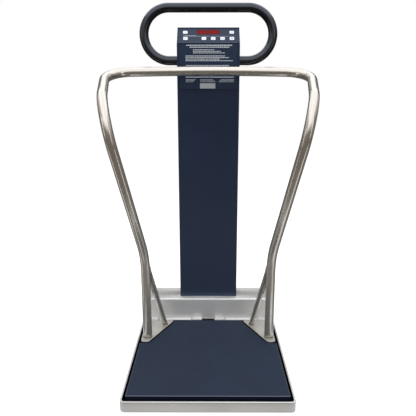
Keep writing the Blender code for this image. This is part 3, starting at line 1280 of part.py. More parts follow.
def build_handle(materials):
    right = handle_arc(HANDLE_END_X, -90, 90)
    left = handle_arc(-HANDLE_END_X, 90, 270)
    ring = tube(right + left, HANDLE_TUBE_RADIUS, RING_SIDES, cyclic=True)
    cut(ring, tube(right + left, HANDLE_TUBE_RADIUS - HANDLE_TUBE_WALL, BORE_SIDES, cyclic=True))
    vent_bottom = HANDLE_LOW_Z - HANDLE_GRIP_RADIUS
    cut(ring, rod(HANDLE_VENT_RADIUS, (0, HANDLE_Y, HANDLE_LOW_Z), (0, HANDLE_Y, vent_bottom), BORE_SIDES))
    finish_part(ring, "handle_tube", materials["aluminium"])

    ends = [Vector((sign * HANDLE_GRIP_END_X, HANDLE_Y, HANDLE_LOW_Z)) for sign in (1, -1)]
    grip_path = [ends[0], *right, *left, ends[1]]
    grip = tube(grip_path, HANDLE_GRIP_RADIUS, RING_SIDES)
    cut(grip, tube(lengthened(grip_path, CUT_OVERRUN), HANDLE_TUBE_RADIUS + TOUCH_GAP, RING_SIDES))
    finish_part(grip, "handle_grip", materials["black_grip"])

    for side, sign in SIDES:
        x = sign * CLAMP_X
        half = HANDLE_TUBE_RADIUS + CLAMP_WALL
        clamp = box((x - CLAMP_WIDTH / 2, COLUMN_BACK_Y + TOUCH_GAP, HANDLE_LOW_Z - half),
                    (x + CLAMP_WIDTH / 2, HANDLE_Y + half, HANDLE_LOW_Z + half))
        bevel(clamp, CLAMP_EDGE, steps=2)
        reach = CLAMP_WIDTH / 2 + CUT_OVERRUN
        cut(clamp, rod(HANDLE_TUBE_RADIUS + HOLE_GAP, (x - reach, HANDLE_Y, HANDLE_LOW_Z),
                       (x + reach, HANDLE_Y, HANDLE_LOW_Z), ROUND_STEPS))
        cut(clamp, box((x - reach, HANDLE_Y, HANDLE_LOW_Z - CLAMP_SLIT / 2),
                       (x + reach, HANDLE_Y + half + CUT_OVERRUN, HANDLE_LOW_Z + CLAMP_SLIT / 2)))
        finish_part(clamp, f"handle_clamp_{side}", materials["clamp_black"])


def main():
    start_scene()
    materials = make_materials()
    build_base(materials)
    build_load_cells(materials)
    build_platform(materials)
    build_rail(materials)
    build_clips(materials)
    build_housing(materials)
    build_wheels(materials)
    build_column(materials)
    build_console(materials)
    build_main_board(materials)
    build_battery(materials)
    build_socket(materials)
    build_cable(materials)
    build_handle(materials)


main()
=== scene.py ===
"""Looks of a stand-on patient scale with a grab rail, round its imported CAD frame."""

import random
from math import ceil, cos, degrees, hypot, pi, radians, sin, sqrt, tan

import bmesh
import bpy
from mathutils import Matrix, Vector


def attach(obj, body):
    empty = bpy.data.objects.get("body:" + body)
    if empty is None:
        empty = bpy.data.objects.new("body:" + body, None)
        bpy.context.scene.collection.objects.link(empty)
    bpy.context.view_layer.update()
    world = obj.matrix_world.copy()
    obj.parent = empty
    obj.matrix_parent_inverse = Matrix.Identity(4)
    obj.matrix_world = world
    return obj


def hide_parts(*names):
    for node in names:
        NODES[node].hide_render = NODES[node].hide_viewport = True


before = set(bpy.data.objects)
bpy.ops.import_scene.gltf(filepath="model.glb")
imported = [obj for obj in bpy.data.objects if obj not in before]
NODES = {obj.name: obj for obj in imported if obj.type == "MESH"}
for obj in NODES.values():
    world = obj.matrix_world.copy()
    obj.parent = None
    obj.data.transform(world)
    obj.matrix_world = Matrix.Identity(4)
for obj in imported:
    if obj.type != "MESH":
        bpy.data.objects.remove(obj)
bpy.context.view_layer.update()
SIDES = (("left", -1), ("right", 1))

# Sizes that the CAD shares with this file, in metres
COLUMN_FACE_Y = 0.252
COLUMN_BACK_Y = 0.3266
GUSSET_TOP_Z = 0.0566
MAT_TOP_Z = 0.0556
PLATFORM_HALF = 0.290
PLATFORM_FRONT_Y = -0.365
PLATFORM_REAR_Y = 0.199
PLATFORM_CORNER = 0.004
GUSSET_WIDTH = 0.130
GUSSET_DEPTH = 0.196
GUSSET_INSET = 0.0025
GUSSET_FRONT_RADIUS = 0.017
GUSSET_INNER_RADIUS = 0.009
GUSSET_MAT_GAP = 0.0060
RAIL_RADIUS = 0.01905
RAIL_CORNERS = (
    (-0.2624, -0.2086, 0.0569),
    (-0.2624, -0.2086, 0.4226),
    (-0.3575, -0.4688, 1.0342),
    (-0.4193, -0.0693, 1.1672),
    (0.0, -0.0393, 1.175),
)
RAIL_BENDS = (0.314, 0.1554, 0.1005)
RAIL_TOP_BEND = 2.0
BRACE_RADIUS = 0.0111
BRACE_FOOT = (0.1965, -0.0960)
BRACE_TOP_Z = 0.428
SLOPE_RUN = 0.0648
SLOPE_RISE = 0.0658
BEND_Z = 1.2852
PANEL_TOP = 0.0028
HANDLE_Y = 0.3485
HANDLE_BEND = 0.1085
HANDLE_MID_Z = 1.3325
HANDLE_END_X = 0.1705
GRIP_RADIUS = 0.0197
RING_RADIUS = 0.0127
GRIP_END_X = 0.088
KEY_SIZE = (0.0195, 0.0180)
KEY_PROUD = 0.0012
# Place up the slope of each row of keys, and their X
KEY_ROWS = {
    "upper": (0.0665, (-0.0975, 0.0985)),
    "lower": (0.0278, (-0.0957, -0.0187, 0.0203, 0.0593, 0.0985)),
}
WINDOW_HEIGHT = 0.028
WINDOW_MARGIN = 0.0093
LABEL_FACE_Y = 0.2502

# Zones of one look, as boxes mirrored in X; ALL_X takes the middle in
ALL_X = -1
# Painted shade, near black, in the hollow inside the tray and in the slot
FRAME_PAINTED_SHADE = (
    ((ALL_X, -0.3785, -0.01), (0.2935, 0.2015, 0.0388)),
    ((ALL_X, -0.3650, -0.01), (0.3070, 0.2015, 0.0388)),
    ((ALL_X, 0.1900, -0.01), (0.0293, 0.2153, 0.0525)),
)
# Painted highlights on edges that catch the light, with their share of it: the rim's lip, the ledge and the
# housing's front bend
FRAME_PAINTED_HIGHLIGHT = (
    ((ALL_X, -0.3900, 0.0412), (0.3095, -0.3770, 0.0430), 1.0),
    ((0.2995, -0.3770, 0.0400), (0.3095, 0.2015, 0.0430), 0.55),
    ((0.0330, 0.2015, 0.0546), (0.3060, 0.2212, 0.0570), 0.9),
)
HOUSING_PAINTED_HIGHLIGHT = (((ALL_X, 0.2205, 0.1496), (0.3100, 0.2262, 0.1600), 1.0),)
# Painted shade in the folds: under the rim's lip and round its lower edge
FRAME_FOLD_PAINTED_SHADE = (
    ((ALL_X, -0.3900, 0.0375), (0.3095, 0.2015, 0.0400)),
    ((ALL_X, -0.3900, -0.01), (0.3095, 0.2015, 0.0062)),
)
# Painted shade, near black, on the top of the platform's plate, which shows only in the gaps of the mat
PLATE_PAINTED_SHADE = (((ALL_X, -0.3700, 0.0505), (0.3000, 0.2100, 0.0520)),)

# Fine sizes of this file's own pieces, in metres
TUBE_RUN = 0.03
RAIL_RUN = 0.02
GUSSET_EDGE = 0.0014
MAT_LIP_HEIGHT = 0.00030
MAT_LIP_WIDTH = 0.0030
# Inset, level and share of the lip's height, for each ring of the mat's edge
MAT_RINGS = (
    (0, -0.0036, 0), (0, -0.0014, 0), (0.0003, -0.0007, 1), (0.0009, -0.0002, 1), (0.0016, 0, 1),
    (0.0024, 0, 1), (MAT_LIP_WIDTH, 0, 0), (0.0040, 0, 0),
)
MAT_CURVE_POINTS = 28
MAT_CURVE_LEAD = 0.006
MAT_LEAST_CORNER = 0.0004
BEAD_STEP = 0.0011
BEAD_RIPPLE = 0.0035
LEG_BEAD = 0.0013
BRACE_FOOT_BEAD = 0.0017
BRACE_TOP_BEAD = 0.0019
GRIP_ROUNDING = 0.003
KEY_SINK = 0.0025
KEY_EDGE = 0.0009
KEY_CORNER = 0.0042
# Place on the key, width and height of each bar of its sign
KEY_SIGNS = {
    "key_upper_1": [(0, 0, 0.0070, 0.0014)],
    "key_upper_2": [(0, 0, 0.0014, 0.0066), (0, 0, 0.0066, 0.0014)],
    "key_lower_1": [(0, 0.0016, 0.0076, 0.0011), (0, -0.0016, 0.0050, 0.0011)],
    "key_lower_2": [(0, 0, 0.0016, 0.0060)],
    "key_lower_3": [(-0.0018, 0, 0.0013, 0.0054), (0.0018, 0, 0.0013, 0.0054)],
    "key_lower_4": [(0, up, 0.0072, 0.0010) for up in (0.0018, 0, -0.0018)],
    "key_lower_5": [(0, 0, 0.0052, 0.0052)],
}
SIGN_INK = 0.00008
SIGN_EDGE = 0.00003
DIGIT_COUNT = 5
DIGIT_PITCH = 0.0165
DIGIT_WIDTH = 0.0095
DIGIT_HEIGHT = 0.0165
DIGIT_STROKE = 0.0019
DIGIT_DOT_GAP = 0.003
DIGIT_SKIN = 0.00003
# How deep a mark reaches into its surface, and how far each kind stands out of it
MARK_SINK = 0.0001
DASH_INK = 0.00007
CONSOLE_INK = 0.00006
STICKER_FILM = 0.00025
SEAM_INK = 0.00004
# Height, thickness, start and end of each row of dashes
DASH_ROWS = (
    (1.2786, 0.0042, -0.092, 0.100), (1.2712, 0.0040, -0.078, 0.088),
    (1.2608, 0.0030, -0.064, 0.024), (1.2546, 0.0030, -0.064, 0.052), (1.2484, 0.0030, -0.064, 0.070),
    (1.2362, 0.0036, -0.095, 0.070), (1.2296, 0.0034, -0.095, 0.086), (1.2236, 0.0034, -0.095, 0.048),
    (1.2174, 0.0034, -0.095, 0.102),
    (1.1978, 0.0038, -0.095, 0.086),
    (1.1512, 0.0036, -0.095, 0.108),
)
DASH_LENGTHS = (0.0035, 0.0105)
DASH_GAP = 0.0017
LEAST_DASH = 0.001
# The rows of short dashes: start and end of each run, and how far both move from row to row
SHORT_ROW_ZS = (1.1412, 1.1366, 1.1320)
SHORT_ROW_HEIGHT = 0.0018
SHORT_RUNS = ((-0.095, -0.052, 0, -0.006), (-0.034, 0.020, 0, 0.006), (0.052, 0.108, -0.004, 0))
# Low and high X, then low and high level, of the single marks
STICKER_BOX = (-0.0354, 0.0295, 1.1046, 1.1259)
STICKER_EDGE = 0.0001
SEAM_BOX = (-0.1215, 0.1215, 1.1003, 1.1014)
RULE_BOX = (-0.105, 0.109, 0.0417, 0.0425)
# A painted highlight along the console's lower bend
CONSOLE_BEND_HIGHLIGHT_BOX = (-0.120, 0.120, 0.0012, 0.0024)
CAPTION_START = -0.105
CAPTION_END = -0.058
CAPTION_BAND = (0.0448, 0.0466)
CAPTION_LENGTHS = (0.003, 0.008)
CAPTION_GAP = 0.0015
COVER_SCREW_XS = (-0.118, 0.118)
COVER_SCREW_ZS = (0.20, 0.47, 0.74, 1.01, 1.32)
# Radius and height of a cover screw's head, from its socket to its rim
SCREW_HEAD = (
    (0, 0.0008), (0.0014, 0.0008), (0.0014, 0.0016), (0.0026, 0.0016), (0.0036, 0.0010), (0.0039, 0.0),
)

# Camera in metres, millimetres of lens and degrees; light and floor
CAMERA_PLACE = (0.006, -1.7831, 1.080)
CAMERA_LENS = 40.15
CAMERA_DIP_DEG = 13.75
CAMERA_TURN_DEG = 0.21
WORLD_COLOUR = (0.96, 0.98, 1.0, 1.0)
WORLD_STRENGTH = 0.50
LAMP_PLACE = (0, -0.35, 3.3)
LAMP_SIZE = (3.4, 3.2)
LAMP_POWER = 76
FLOOR_REACH = 14
FLOOR_DROP = 0.0004
FLOOR_COLOUR = (0.86, 0.86, 0.86, 1.0)
FLOOR_GLOW = 0.60

# The room that polished pieces reflect, in metres and degrees from -Y toward +X
ROOM_RADIUS = 4.2
ROOM_HEIGHT = 3.35
ROOM_LIFT = 0.002
CEILING_HALF = 2.7
STRIP_INSET = 0.2
STRIP_STEP_Z = 1.45
STRIP_TOP_Z = 2.3
PATH_WIDTH = 0.30
# First and last angle, lower and upper strength, and both ends of the pale path of each strip light
STRIPS = {
    "left": (-76, -60, 1.25, 2.2, (-0.75, -0.02), (-2.6, -0.45)),
    "right": (41, 55, 1.35, 2.2, (0.42, -0.20), (1.75, -1.10)),
}
# Half the width, the front and the rear of the carpet's hole, where the object stands
CARPET_HOLE = (0.42, -0.45, 0.34)
ROOM_AHEAD = (0.20, 0.16, 0.12, 1.0)
ROOM_ASIDE = (0.24, 0.20, 0.155, 1.0)
ROOM_BEHIND = (0.11, 0.095, 0.08, 1.0)
ROOM_ABOVE = (1.92, 1.93, 1.96, 1.0)
ROOM_ABOVE_BESIDE = (0.9, 0.88, 0.85, 1.0)
ROOM_CARPET = (0.175, 0.145, 0.115, 1.0)

# Stretch of the noise that makes brushed grain along X
GRAIN_ALONG_X = (7, 900, 900)

SLOPE_LENGTH = hypot(SLOPE_RUN, SLOPE_RISE)
SLOPE_ALONG = Vector((0, SLOPE_RUN, SLOPE_RISE)) / SLOPE_LENGTH
SLOPE_OUT = Vector((0, -SLOPE_ALONG.z, SLOPE_ALONG.y))
SLOPE_FRAME = Matrix.Translation((0, COLUMN_FACE_Y, BEND_Z)) @ Matrix((
    (1, 0, 0, 0),
    (0, SLOPE_ALONG.y, SLOPE_OUT.y, 0),
    (0, SLOPE_ALONG.z, SLOPE_OUT.z, 0),
    (0, 0, 0, 1),
))


# Node trees

class Nodes:
    """A node tree, and short ways to fill it."""

    def __init__(self, owner, output=None):
        owner.use_nodes = True
        self.tree = owner.node_tree
        if output is not None:
            self.tree.nodes.clear()
            self.output = self.node(output)

    def node(self, kind, sockets=None, **settings):
        """A new node, whose sockets take numbers, colours or the outputs of other nodes."""
        node = self.tree.nodes.new(kind)
        for key, value in settings.items():
            setattr(node, key, value)
        for key, value in (sockets or {}).items():
            if isinstance(value, bpy.types.NodeSocket):
                self.tree.links.new(value, node.inputs[key])
            else:
                node.inputs[key].default_value = value
        return node

    def show(self, node):
        """Makes a shader node the one that the output shows."""
        self.tree.links.new(node.outputs[0], self.output.inputs[0])

    def coords(self, stretch=(1, 1, 1), source="Object"):
        place = self.node("ShaderNodeTexCoord").outputs[source]
        return self.node("ShaderNodeMapping", {"Scale": stretch, "Vector": place}).outputs["Vector"]

    def axes(self, vector):
        return self.node("ShaderNodeSeparateXYZ", {0: vector}).outputs

    def spread(self, value, low, high, to_low=0.0, to_high=1.0):
        """A value's range from low to high, laid out over another."""
        sockets = {"Value": value, "From Min": low, "From Max": high, "To Min": to_low, "To Max": to_high}
        return self.node("ShaderNodeMapRange", sockets).outputs["Result"]

    def maths(self, operation, *values):
        return self.node("ShaderNodeMath", dict(enumerate(values)), operation=operation).outputs[0]

    def mix(self, factor, first, second):
        """A colour between two, which are colours or outputs."""
        return self.node("ShaderNodeMix", {0: factor, 6: first, 7: second}, data_type="RGBA").outputs[2]

    def seen(self):
        """1 for camera, glossy and transmission rays, 0 for the rays that light the object."""
        rays = self.node("ShaderNodeLightPath").outputs
        direct = self.maths("MAXIMUM", rays["Is Camera Ray"], rays["Is Glossy Ray"])
        return self.maths("MAXIMUM", direct, rays["Is Transmission Ray"])


class Shader(Nodes):
    """One Principled material and the texture nodes that feed it."""

    def __init__(self, name, colour, roughness, metallic=0.0, specular=0.5):
        self.material = bpy.data.materials.new(name)
        super().__init__(self.material)
        self.main = self.tree.nodes["Principled BSDF"]
        for socket, value in (("Base Color", colour), ("Roughness", roughness), ("Metallic", metallic),
                              ("Specular IOR Level", specular)):
            self.main.inputs[socket].default_value = value
        self.material.diffuse_color = colour
        self.bump = None

    def noise(self, scale=1.0, detail=3.0, rough=0.5, stretch=(1, 1, 1), source="Object"):
        sockets = {"Scale": scale, "Detail": detail, "Roughness": rough}
        sockets["Vector"] = self.coords(stretch, source)
        return self.node("ShaderNodeTexNoise", sockets).outputs["Fac"]

    def cells(self, scale):
        """Distance to the rounded cells' middles."""
        sockets = {"Scale": scale, "Vector": self.coords()}
        return self.node("ShaderNodeTexVoronoi", sockets, feature="SMOOTH_F1").outputs["Distance"]

    def fade(self, value, low, high, share, first, second):
        """From one colour to a share of the next, as a value goes from low to high."""
        return self.mix(self.spread(value, low, high, 0.0, share), first, second)

    def inside(self, low, high):
        """1 inside a box of the object's coordinates that is mirrored in X, 0 outside."""
        axes = self.axes(self.coords())
        result = 1.0
        for value, least, most in zip((self.maths("ABSOLUTE", axes[0]), axes[1], axes[2]), low, high):
            for test, limit in (("GREATER_THAN", least), ("LESS_THAN", most)):
                result = self.maths("MULTIPLY", result, self.maths(test, value, limit))
        return result

    def height(self, low, high):
        """0 to 1 between two heights."""
        return self.spread(self.axes(self.coords())[2], low, high)

    def upward(self, low, high):
        """0 to 1 as the surface turns upward."""
        normal = self.node("ShaderNodeNewGeometry").outputs["Normal"]
        return self.spread(self.axes(normal)[2], low, high)

    def feed(self, socket, value):
        self.tree.links.new(value, self.main.inputs[socket])

    def paint(self, colour):
        self.feed("Base Color", colour)

    def gloss(self, value, *others):
        """Roughness, as the sum of what is given."""
        for other in others:
            value = self.maths("ADD", value, other)
        self.feed("Roughness", value)

    def relief(self, height, depth, strength):
        """Adds a bump on top of those already there; depth is in metres."""
        sockets = {"Strength": strength, "Distance": depth, "Height": height}
        if self.bump is not None:
            sockets["Normal"] = self.bump
        self.bump = self.node("ShaderNodeBump", sockets).outputs["Normal"]
        self.feed("Normal", self.bump)


# Camera, light, floor and room

def linked(name, data):
    obj = bpy.data.objects.new(name, data)
    bpy.context.scene.collection.objects.link(obj)
    return obj


def make_camera():
    data = bpy.data.cameras.new("photo_camera")
    data.sensor_width = 36
    data.lens = CAMERA_LENS
    data.clip_start, data.clip_end = 0.01, 60
    camera = linked("photo_camera", data)
    camera.location = CAMERA_PLACE
    camera.rotation_euler = (radians(90 - CAMERA_DIP_DEG), 0, radians(CAMERA_TURN_DEG))
    bpy.context.scene.camera = camera


def make_world():
    world = bpy.data.worlds.new("studio")
    bpy.context.scene.world = world
    nodes = Nodes(world, "ShaderNodeOutputWorld")
    lit = nodes.node("ShaderNodeBackground", {"Color": WORLD_COLOUR, "Strength": WORLD_STRENGTH})
    white = nodes.node("ShaderNodeBackground", {"Color": (1.0, 1.0, 1.0, 1.0), "Strength": 1.0})
    nodes.show(nodes.node("ShaderNodeMixShader", {0: nodes.seen(), 1: lit.outputs[0], 2: white.outputs[0]}))


def make_lamp():
    """One wide soft lamp that looks straight down, and that no polished piece shows."""
    data = bpy.data.lights.new("ceiling_lamp", "AREA")
    data.shape = "RECTANGLE"
    data.size, data.size_y = LAMP_SIZE
    data.energy = LAMP_POWER
    lamp = linked("ceiling_lamp", data)
    lamp.location = LAMP_PLACE
    lamp.visible_glossy = False


def rectangle(low_x, high_x, low_y, high_y, level):
    """The corners of a level rectangle."""
    return [(low_x, low_y, level), (high_x, low_y, level), (high_x, high_y, level), (low_x, high_y, level)]


def make_floor():
    mesh = bpy.data.meshes.new("floor")
    mesh.from_pydata(rectangle(-FLOOR_REACH, FLOOR_REACH, -FLOOR_REACH, FLOOR_REACH, 0), [], [(0, 1, 2, 3)])
    floor = linked("floor", mesh)
    floor.location.z = -FLOOR_DROP
    material = bpy.data.materials.new("floor_white")
    nodes = Nodes(material, "ShaderNodeOutputMaterial")
    diffuse = nodes.node("ShaderNodeBsdfDiffuse", {"Color": FLOOR_COLOUR})
    glow = nodes.node("ShaderNodeEmission", {"Strength": nodes.maths("MULTIPLY", nodes.seen(), FLOOR_GLOW)})
    nodes.show(nodes.node("ShaderNodeAddShader", {0: diffuse.outputs[0], 1: glow.outputs[0]}))
    mesh.materials.append(material)


def glow_material(name, colour, ahead=None, above=None, rise=None):
    """Plain light of one colour, which may dim ahead of the set and turn white between two heights."""
    material = bpy.data.materials.new(name)
    nodes = Nodes(material, "ShaderNodeOutputMaterial")
    if ahead is not None:
        axes = nodes.axes(nodes.coords())
        aside = nodes.spread(nodes.maths("ABSOLUTE", axes[0]), 0.4, 1.0)
        colour = nodes.mix(nodes.spread(axes[2], *rise), nodes.mix(aside, ahead, colour), above)
    nodes.show(nodes.node("ShaderNodeEmission", {"Color": colour}))
    material.cycles.emission_sampling = "NONE"
    return material


def reflected_only(name, corners, faces, material):
    """A surface of the room that only polished pieces show."""
    mesh = bpy.data.meshes.new(name)
    mesh.from_pydata(corners, [], faces)
    mesh.materials.append(material)
    obj = linked(name, mesh)
    obj.visible_camera = False
    obj.visible_diffuse = False
    obj.visible_transmission = False
    obj.visible_shadow = False


def wall_band(name, first_deg, last_deg, material, radius=ROOM_RADIUS, low_z=ROOM_LIFT, high_z=ROOM_HEIGHT):
    """Part of a round wall between two angles."""
    count = ceil((last_deg - first_deg) / 8)
    turns = [radians(first_deg + (last_deg - first_deg) * k / count) for k in range(count + 1)]
    ring = [(radius * sin(turn), -radius * cos(turn)) for turn in turns]
    corners = [(x, y, z) for z in (low_z, high_z) for x, y in ring]
    reflected_only(name, corners, [(k, k + 1, count + k + 2, count + k + 1) for k in range(count)], material)


def floor_path(name, near, far, material):
    """A pale runner across the carpet, between two points."""
    near, far = Vector((*near, 2 * ROOM_LIFT)), Vector((*far, 2 * ROOM_LIFT))
    along = (far - near).normalized()
    across = Vector((-along.y, along.x, 0)) * PATH_WIDTH / 2
    corners = [tuple(point) for point in (near - across, near + across, far + across, far - across)]
    reflected_only(name, corners, [(0, 1, 2, 3)], material)


def make_room():
    """A dim warm room under a bright ceiling, with two strip lights, seen only in reflections."""
    radius = ROOM_RADIUS
    warm = glow_material("room_warm", ROOM_ASIDE, ROOM_AHEAD, ROOM_ABOVE, (1.3, 3.2))
    beside = glow_material("room_beside", ROOM_ASIDE, ROOM_ASIDE, ROOM_ABOVE_BESIDE, (1.6, ROOM_HEIGHT))
    wall_band("room_front", -50, 50, warm)
    wall_band("room_side_left", -130, -50, beside)
    wall_band("room_side_right", 50, 130, beside)
    wall_band("room_rear", 130, 230, glow_material("room_behind", ROOM_BEHIND))
    for side, (first_deg, last_deg, low, high, near, far) in STRIPS.items():
        looks = [glow_material(f"strip_{side}{part}", (power, power * 0.985, power * 0.96, 1.0))
                 for part, power in (("", low), ("_upper", high))]
        reach = radius - STRIP_INSET
        wall_band(f"room_strip_{side}", first_deg, last_deg, looks[0], reach, high_z=STRIP_STEP_Z)
        wall_band(f"room_strip_{side}_upper", first_deg, last_deg, looks[1], reach, STRIP_STEP_Z, STRIP_TOP_Z)
        floor_path(f"room_path_{side}", near, far, looks[0])
    bright = glow_material("room_bright", ROOM_ABOVE)
    half = CEILING_HALF
    for name, low_x, high_x, look in (("middle", -half, half, bright), ("left", -radius, -half, beside),
                                      ("right", half, radius, beside)):
        corners = rectangle(low_x, high_x, -radius, radius, ROOM_HEIGHT)
        reflected_only(f"room_ceiling_{name}", corners, [(0, 1, 2, 3)], look)
    aside, front_y, rear_y = CARPET_HOLE
    corners, faces = [], []
    for borders in ((-radius, radius, -radius, front_y), (-radius, -aside, front_y, rear_y),
                    (aside, radius, front_y, rear_y), (-radius, radius, rear_y, radius)):
        faces.append(tuple(range(len(corners), len(corners) + 4)))
        corners += rectangle(*borders, ROOM_LIFT)
    reflected_only("room_carpet", corners, faces, glow_material("room_carpet", ROOM_CARPET))


def make_studio():
    bpy.context.scene.view_settings.view_transform = "Standard"
    make_camera()
    make_world()
    make_floor()
    make_room()
    make_lamp()


# Materials

def srgb(red, green, blue):
    """A colour as it is seen on a screen, 0 to 255, as linear light."""
    linear = []
    for value in (red, green, blue):
        share = value / 255
        linear.append(share / 12.92 if share <= 0.04045 else ((share + 0.055) / 1.055) ** 2.4)
    return (*linear, 1.0)


def tint(colour, gain):
    return (*(value * gain for value in colour[:3]), 1.0)


def brushed_sheet(name, grain, colour, roughness, metallic=1.0, spread=0.0,
                  dark=(), bright=(), dull=(), painted_shade_sides=False):
    """Stainless sheet, brushed along the axis of the smallest stretch, with zones of painted shade and
    painted highlight, and sides in painted shade if asked.
    """
    look = Shader(name, colour, roughness, metallic=metallic)
    if spread:
        look.feed("Tangent", look.node("ShaderNodeTangent", direction_type="RADIAL", axis="Z").outputs[0])
        look.main.inputs["Anisotropic"].default_value = spread
        look.main.inputs["Anisotropic Rotation"].default_value = 0.25
    lines = look.noise(detail=5, rough=0.65, stretch=grain)
    cloud = look.noise(5.0)
    tone = look.fade(lines, 0.3, 0.7, 1.0, tint(colour, 0.93), tint(colour, 1.06))
    tone = look.fade(cloud, 0.35, 0.7, 0.5, tone, tint(colour, 0.90))
    # Painted shade: the dull zones turn darker
    for low, high in dull:
        tone = look.mix(look.inside(low, high), tone, tint(colour, 0.66))
    # Painted shade: the dark zones turn near black
    for low, high in dark:
        tone = look.mix(look.inside(low, high), tone, (0.004, 0.004, 0.005, 1.0))
    # Painted shade: faces that turn away from up go near black
    if painted_shade_sides:
        tone = look.mix(look.upward(0.30, 0.15), tone, (0.006, 0.006, 0.008, 1.0))
    # Painted highlight: the bright zones turn near white, and less metallic so that the paint shows
    painted_highlight = 0.0
    for low, high, share in bright:
        painted_highlight = look.maths("MULTIPLY_ADD", look.inside(low, high), share, painted_highlight)
    if bright:
        tone = look.mix(painted_highlight, tone, (0.96, 0.96, 0.95, 1.0))
        look.feed("Metallic", look.spread(painted_highlight, 0, 1, metallic, metallic * 0.3))
    look.paint(tone)
    look.gloss(look.spread(lines, 0.25, 0.75, roughness - 0.06, roughness + 0.08),
                 look.spread(cloud, 0.3, 0.7, -0.03, 0.05))
    look.relief(lines, 0.00006, 0.35)
    return look.material


def tube_steel(name, colour, roughness):
    """Polished tube, duller toward the feet, with grain round it and long draw marks along it."""
    look = Shader(name, colour, roughness)
    dull = look.height(1.0, 0.10)
    look.feed("Metallic", look.spread(dull, 0, 1, 0.86, 0.60))
    round_grain = look.noise(detail=4, rough=0.6, stretch=(900, 25, 1), source="UV")
    long_marks = look.noise(detail=2, stretch=(3.5, 140, 1), source="UV")
    cloud = look.noise(9.0)
    tone = look.fade(long_marks, 0.3, 0.7, 1.0, tint(colour, 0.90), tint(colour, 1.08))
    look.paint(look.fade(cloud, 0.4, 0.75, 0.5, tone, tint(colour, 0.90)))
    look.gloss(look.spread(round_grain, 0.2, 0.8, roughness - 0.015, roughness + 0.015),
                 look.spread(long_marks, 0.35, 0.7, -0.01, 0.02), look.spread(dull, 0, 1, 0.0, 0.07))
    return look.material


def powder_coat(name, colour, roughness=0.42, specular=0.25, peel_depth=0.00010, foot=None, dark=()):
    """Powder coating with a fine orange peel, faint handling marks and, if given, a foot lightened with
    painted light and zones in painted shade.
    """
    look = Shader(name, colour, roughness, specular=specular)
    peel = look.noise(520, detail=2, rough=0.45)
    cloud = look.noise(4.0, detail=4, rough=0.55)
    marks = look.noise(detail=5, rough=0.7, stretch=(60, 60, 9))
    tone = look.fade(cloud, 0.35, 0.7, 1.0, tint(colour, 0.92), tint(colour, 1.10))
    # Painted light: the coat turns lighter toward the foot
    if foot is not None:
        tone = look.mix(look.height(0.95, 0.15), tone, foot)
    # Painted shade: the dark zones turn near black
    for low, high in dark:
        tone = look.mix(look.inside(low, high), tone, (0.002, 0.002, 0.003, 1.0))
    look.paint(look.fade(marks, 0.62, 0.8, 0.35, tone, tint(colour, 1.5)))
    look.gloss(look.spread(cloud, 0.3, 0.7, roughness - 0.04, roughness + 0.05),
                 look.spread(marks, 0.55, 0.8, 0.0, 0.12))
    look.relief(peel, peel_depth, 0.45)
    return look.material


def moulded(name, rgb, roughness=0.45, specular=0.4):
    """Moulded plastic with a fine spark-eroded skin."""
    colour = srgb(*rgb)
    look = Shader(name, colour, roughness, specular=specular)
    cloud = look.noise(30)
    look.paint(look.fade(cloud, 0.35, 0.7, 1.0, tint(colour, 0.94), tint(colour, 1.06)))
    look.gloss(look.spread(cloud, 0.3, 0.7, roughness - 0.05, roughness + 0.06))
    look.relief(look.noise(900, detail=2), 0.00004, 0.35)
    return look.material


def mat_box(inset):
    """The mat's top inside an inset, as a box mirrored in X; it runs on past the rear edge."""
    margin, depth, beyond = 0.0001, 0.0009, 0.001
    low = (ALL_X, PLATFORM_FRONT_Y + inset - margin, MAT_TOP_Z - depth)
    return low, (PLATFORM_HALF - inset + margin, 1.0, MAT_TOP_Z + beyond)


def mat_rubber():
    """The platform's mat: leathery pebble grain, a paler scuffed middle, painted shade on its edge faces and
    a pale painted highlight along its lip.
    """
    colour = srgb(44, 53, 70)
    look = Shader("mat_rubber", colour, 0.72, specular=0.18)
    pebble = look.cells(420)
    cloud = look.noise(5.5, detail=6, rough=0.62)
    scuff = look.noise(detail=6, rough=0.7, stretch=(26, 38, 10))
    tone = look.fade(cloud, 0.3, 0.72, 1.0, tint(colour, 0.84), tint(colour, 1.12))
    tone = look.fade(scuff, 0.52, 0.78, 0.45, tone, srgb(64, 72, 88))
    tone = look.fade(pebble, 0.25, 0.7, 0.35, tone, tint(colour, 0.72))
    within = look.inside(*mat_box(0))
    lip = look.maths("SUBTRACT", within, look.inside(*mat_box(MAT_LIP_WIDTH)))
    ahead = look.inside((ALL_X, -1.0, 0), (1.0, PLATFORM_FRONT_Y + MAT_LIP_WIDTH, 1.0))
    # Painted shade: below the mat's top, its edge faces turn darker
    tone = look.mix(within, srgb(20, 26, 42), tone)
    # Painted highlight: a pale line along the lip, stronger at the front
    share = look.maths("MULTIPLY", lip, look.spread(ahead, 0, 1, 0.30, 0.90))
    look.paint(look.mix(share, tone, srgb(112, 118, 134)))
    look.gloss(look.spread(cloud, 0.3, 0.7, 0.66, 0.78), look.spread(scuff, 0.5, 0.8, 0.0, 0.08))
    look.relief(pebble, 0.00016, 0.45)
    look.relief(look.noise(1500, detail=2), 0.00004, 0.35)
    return look.material


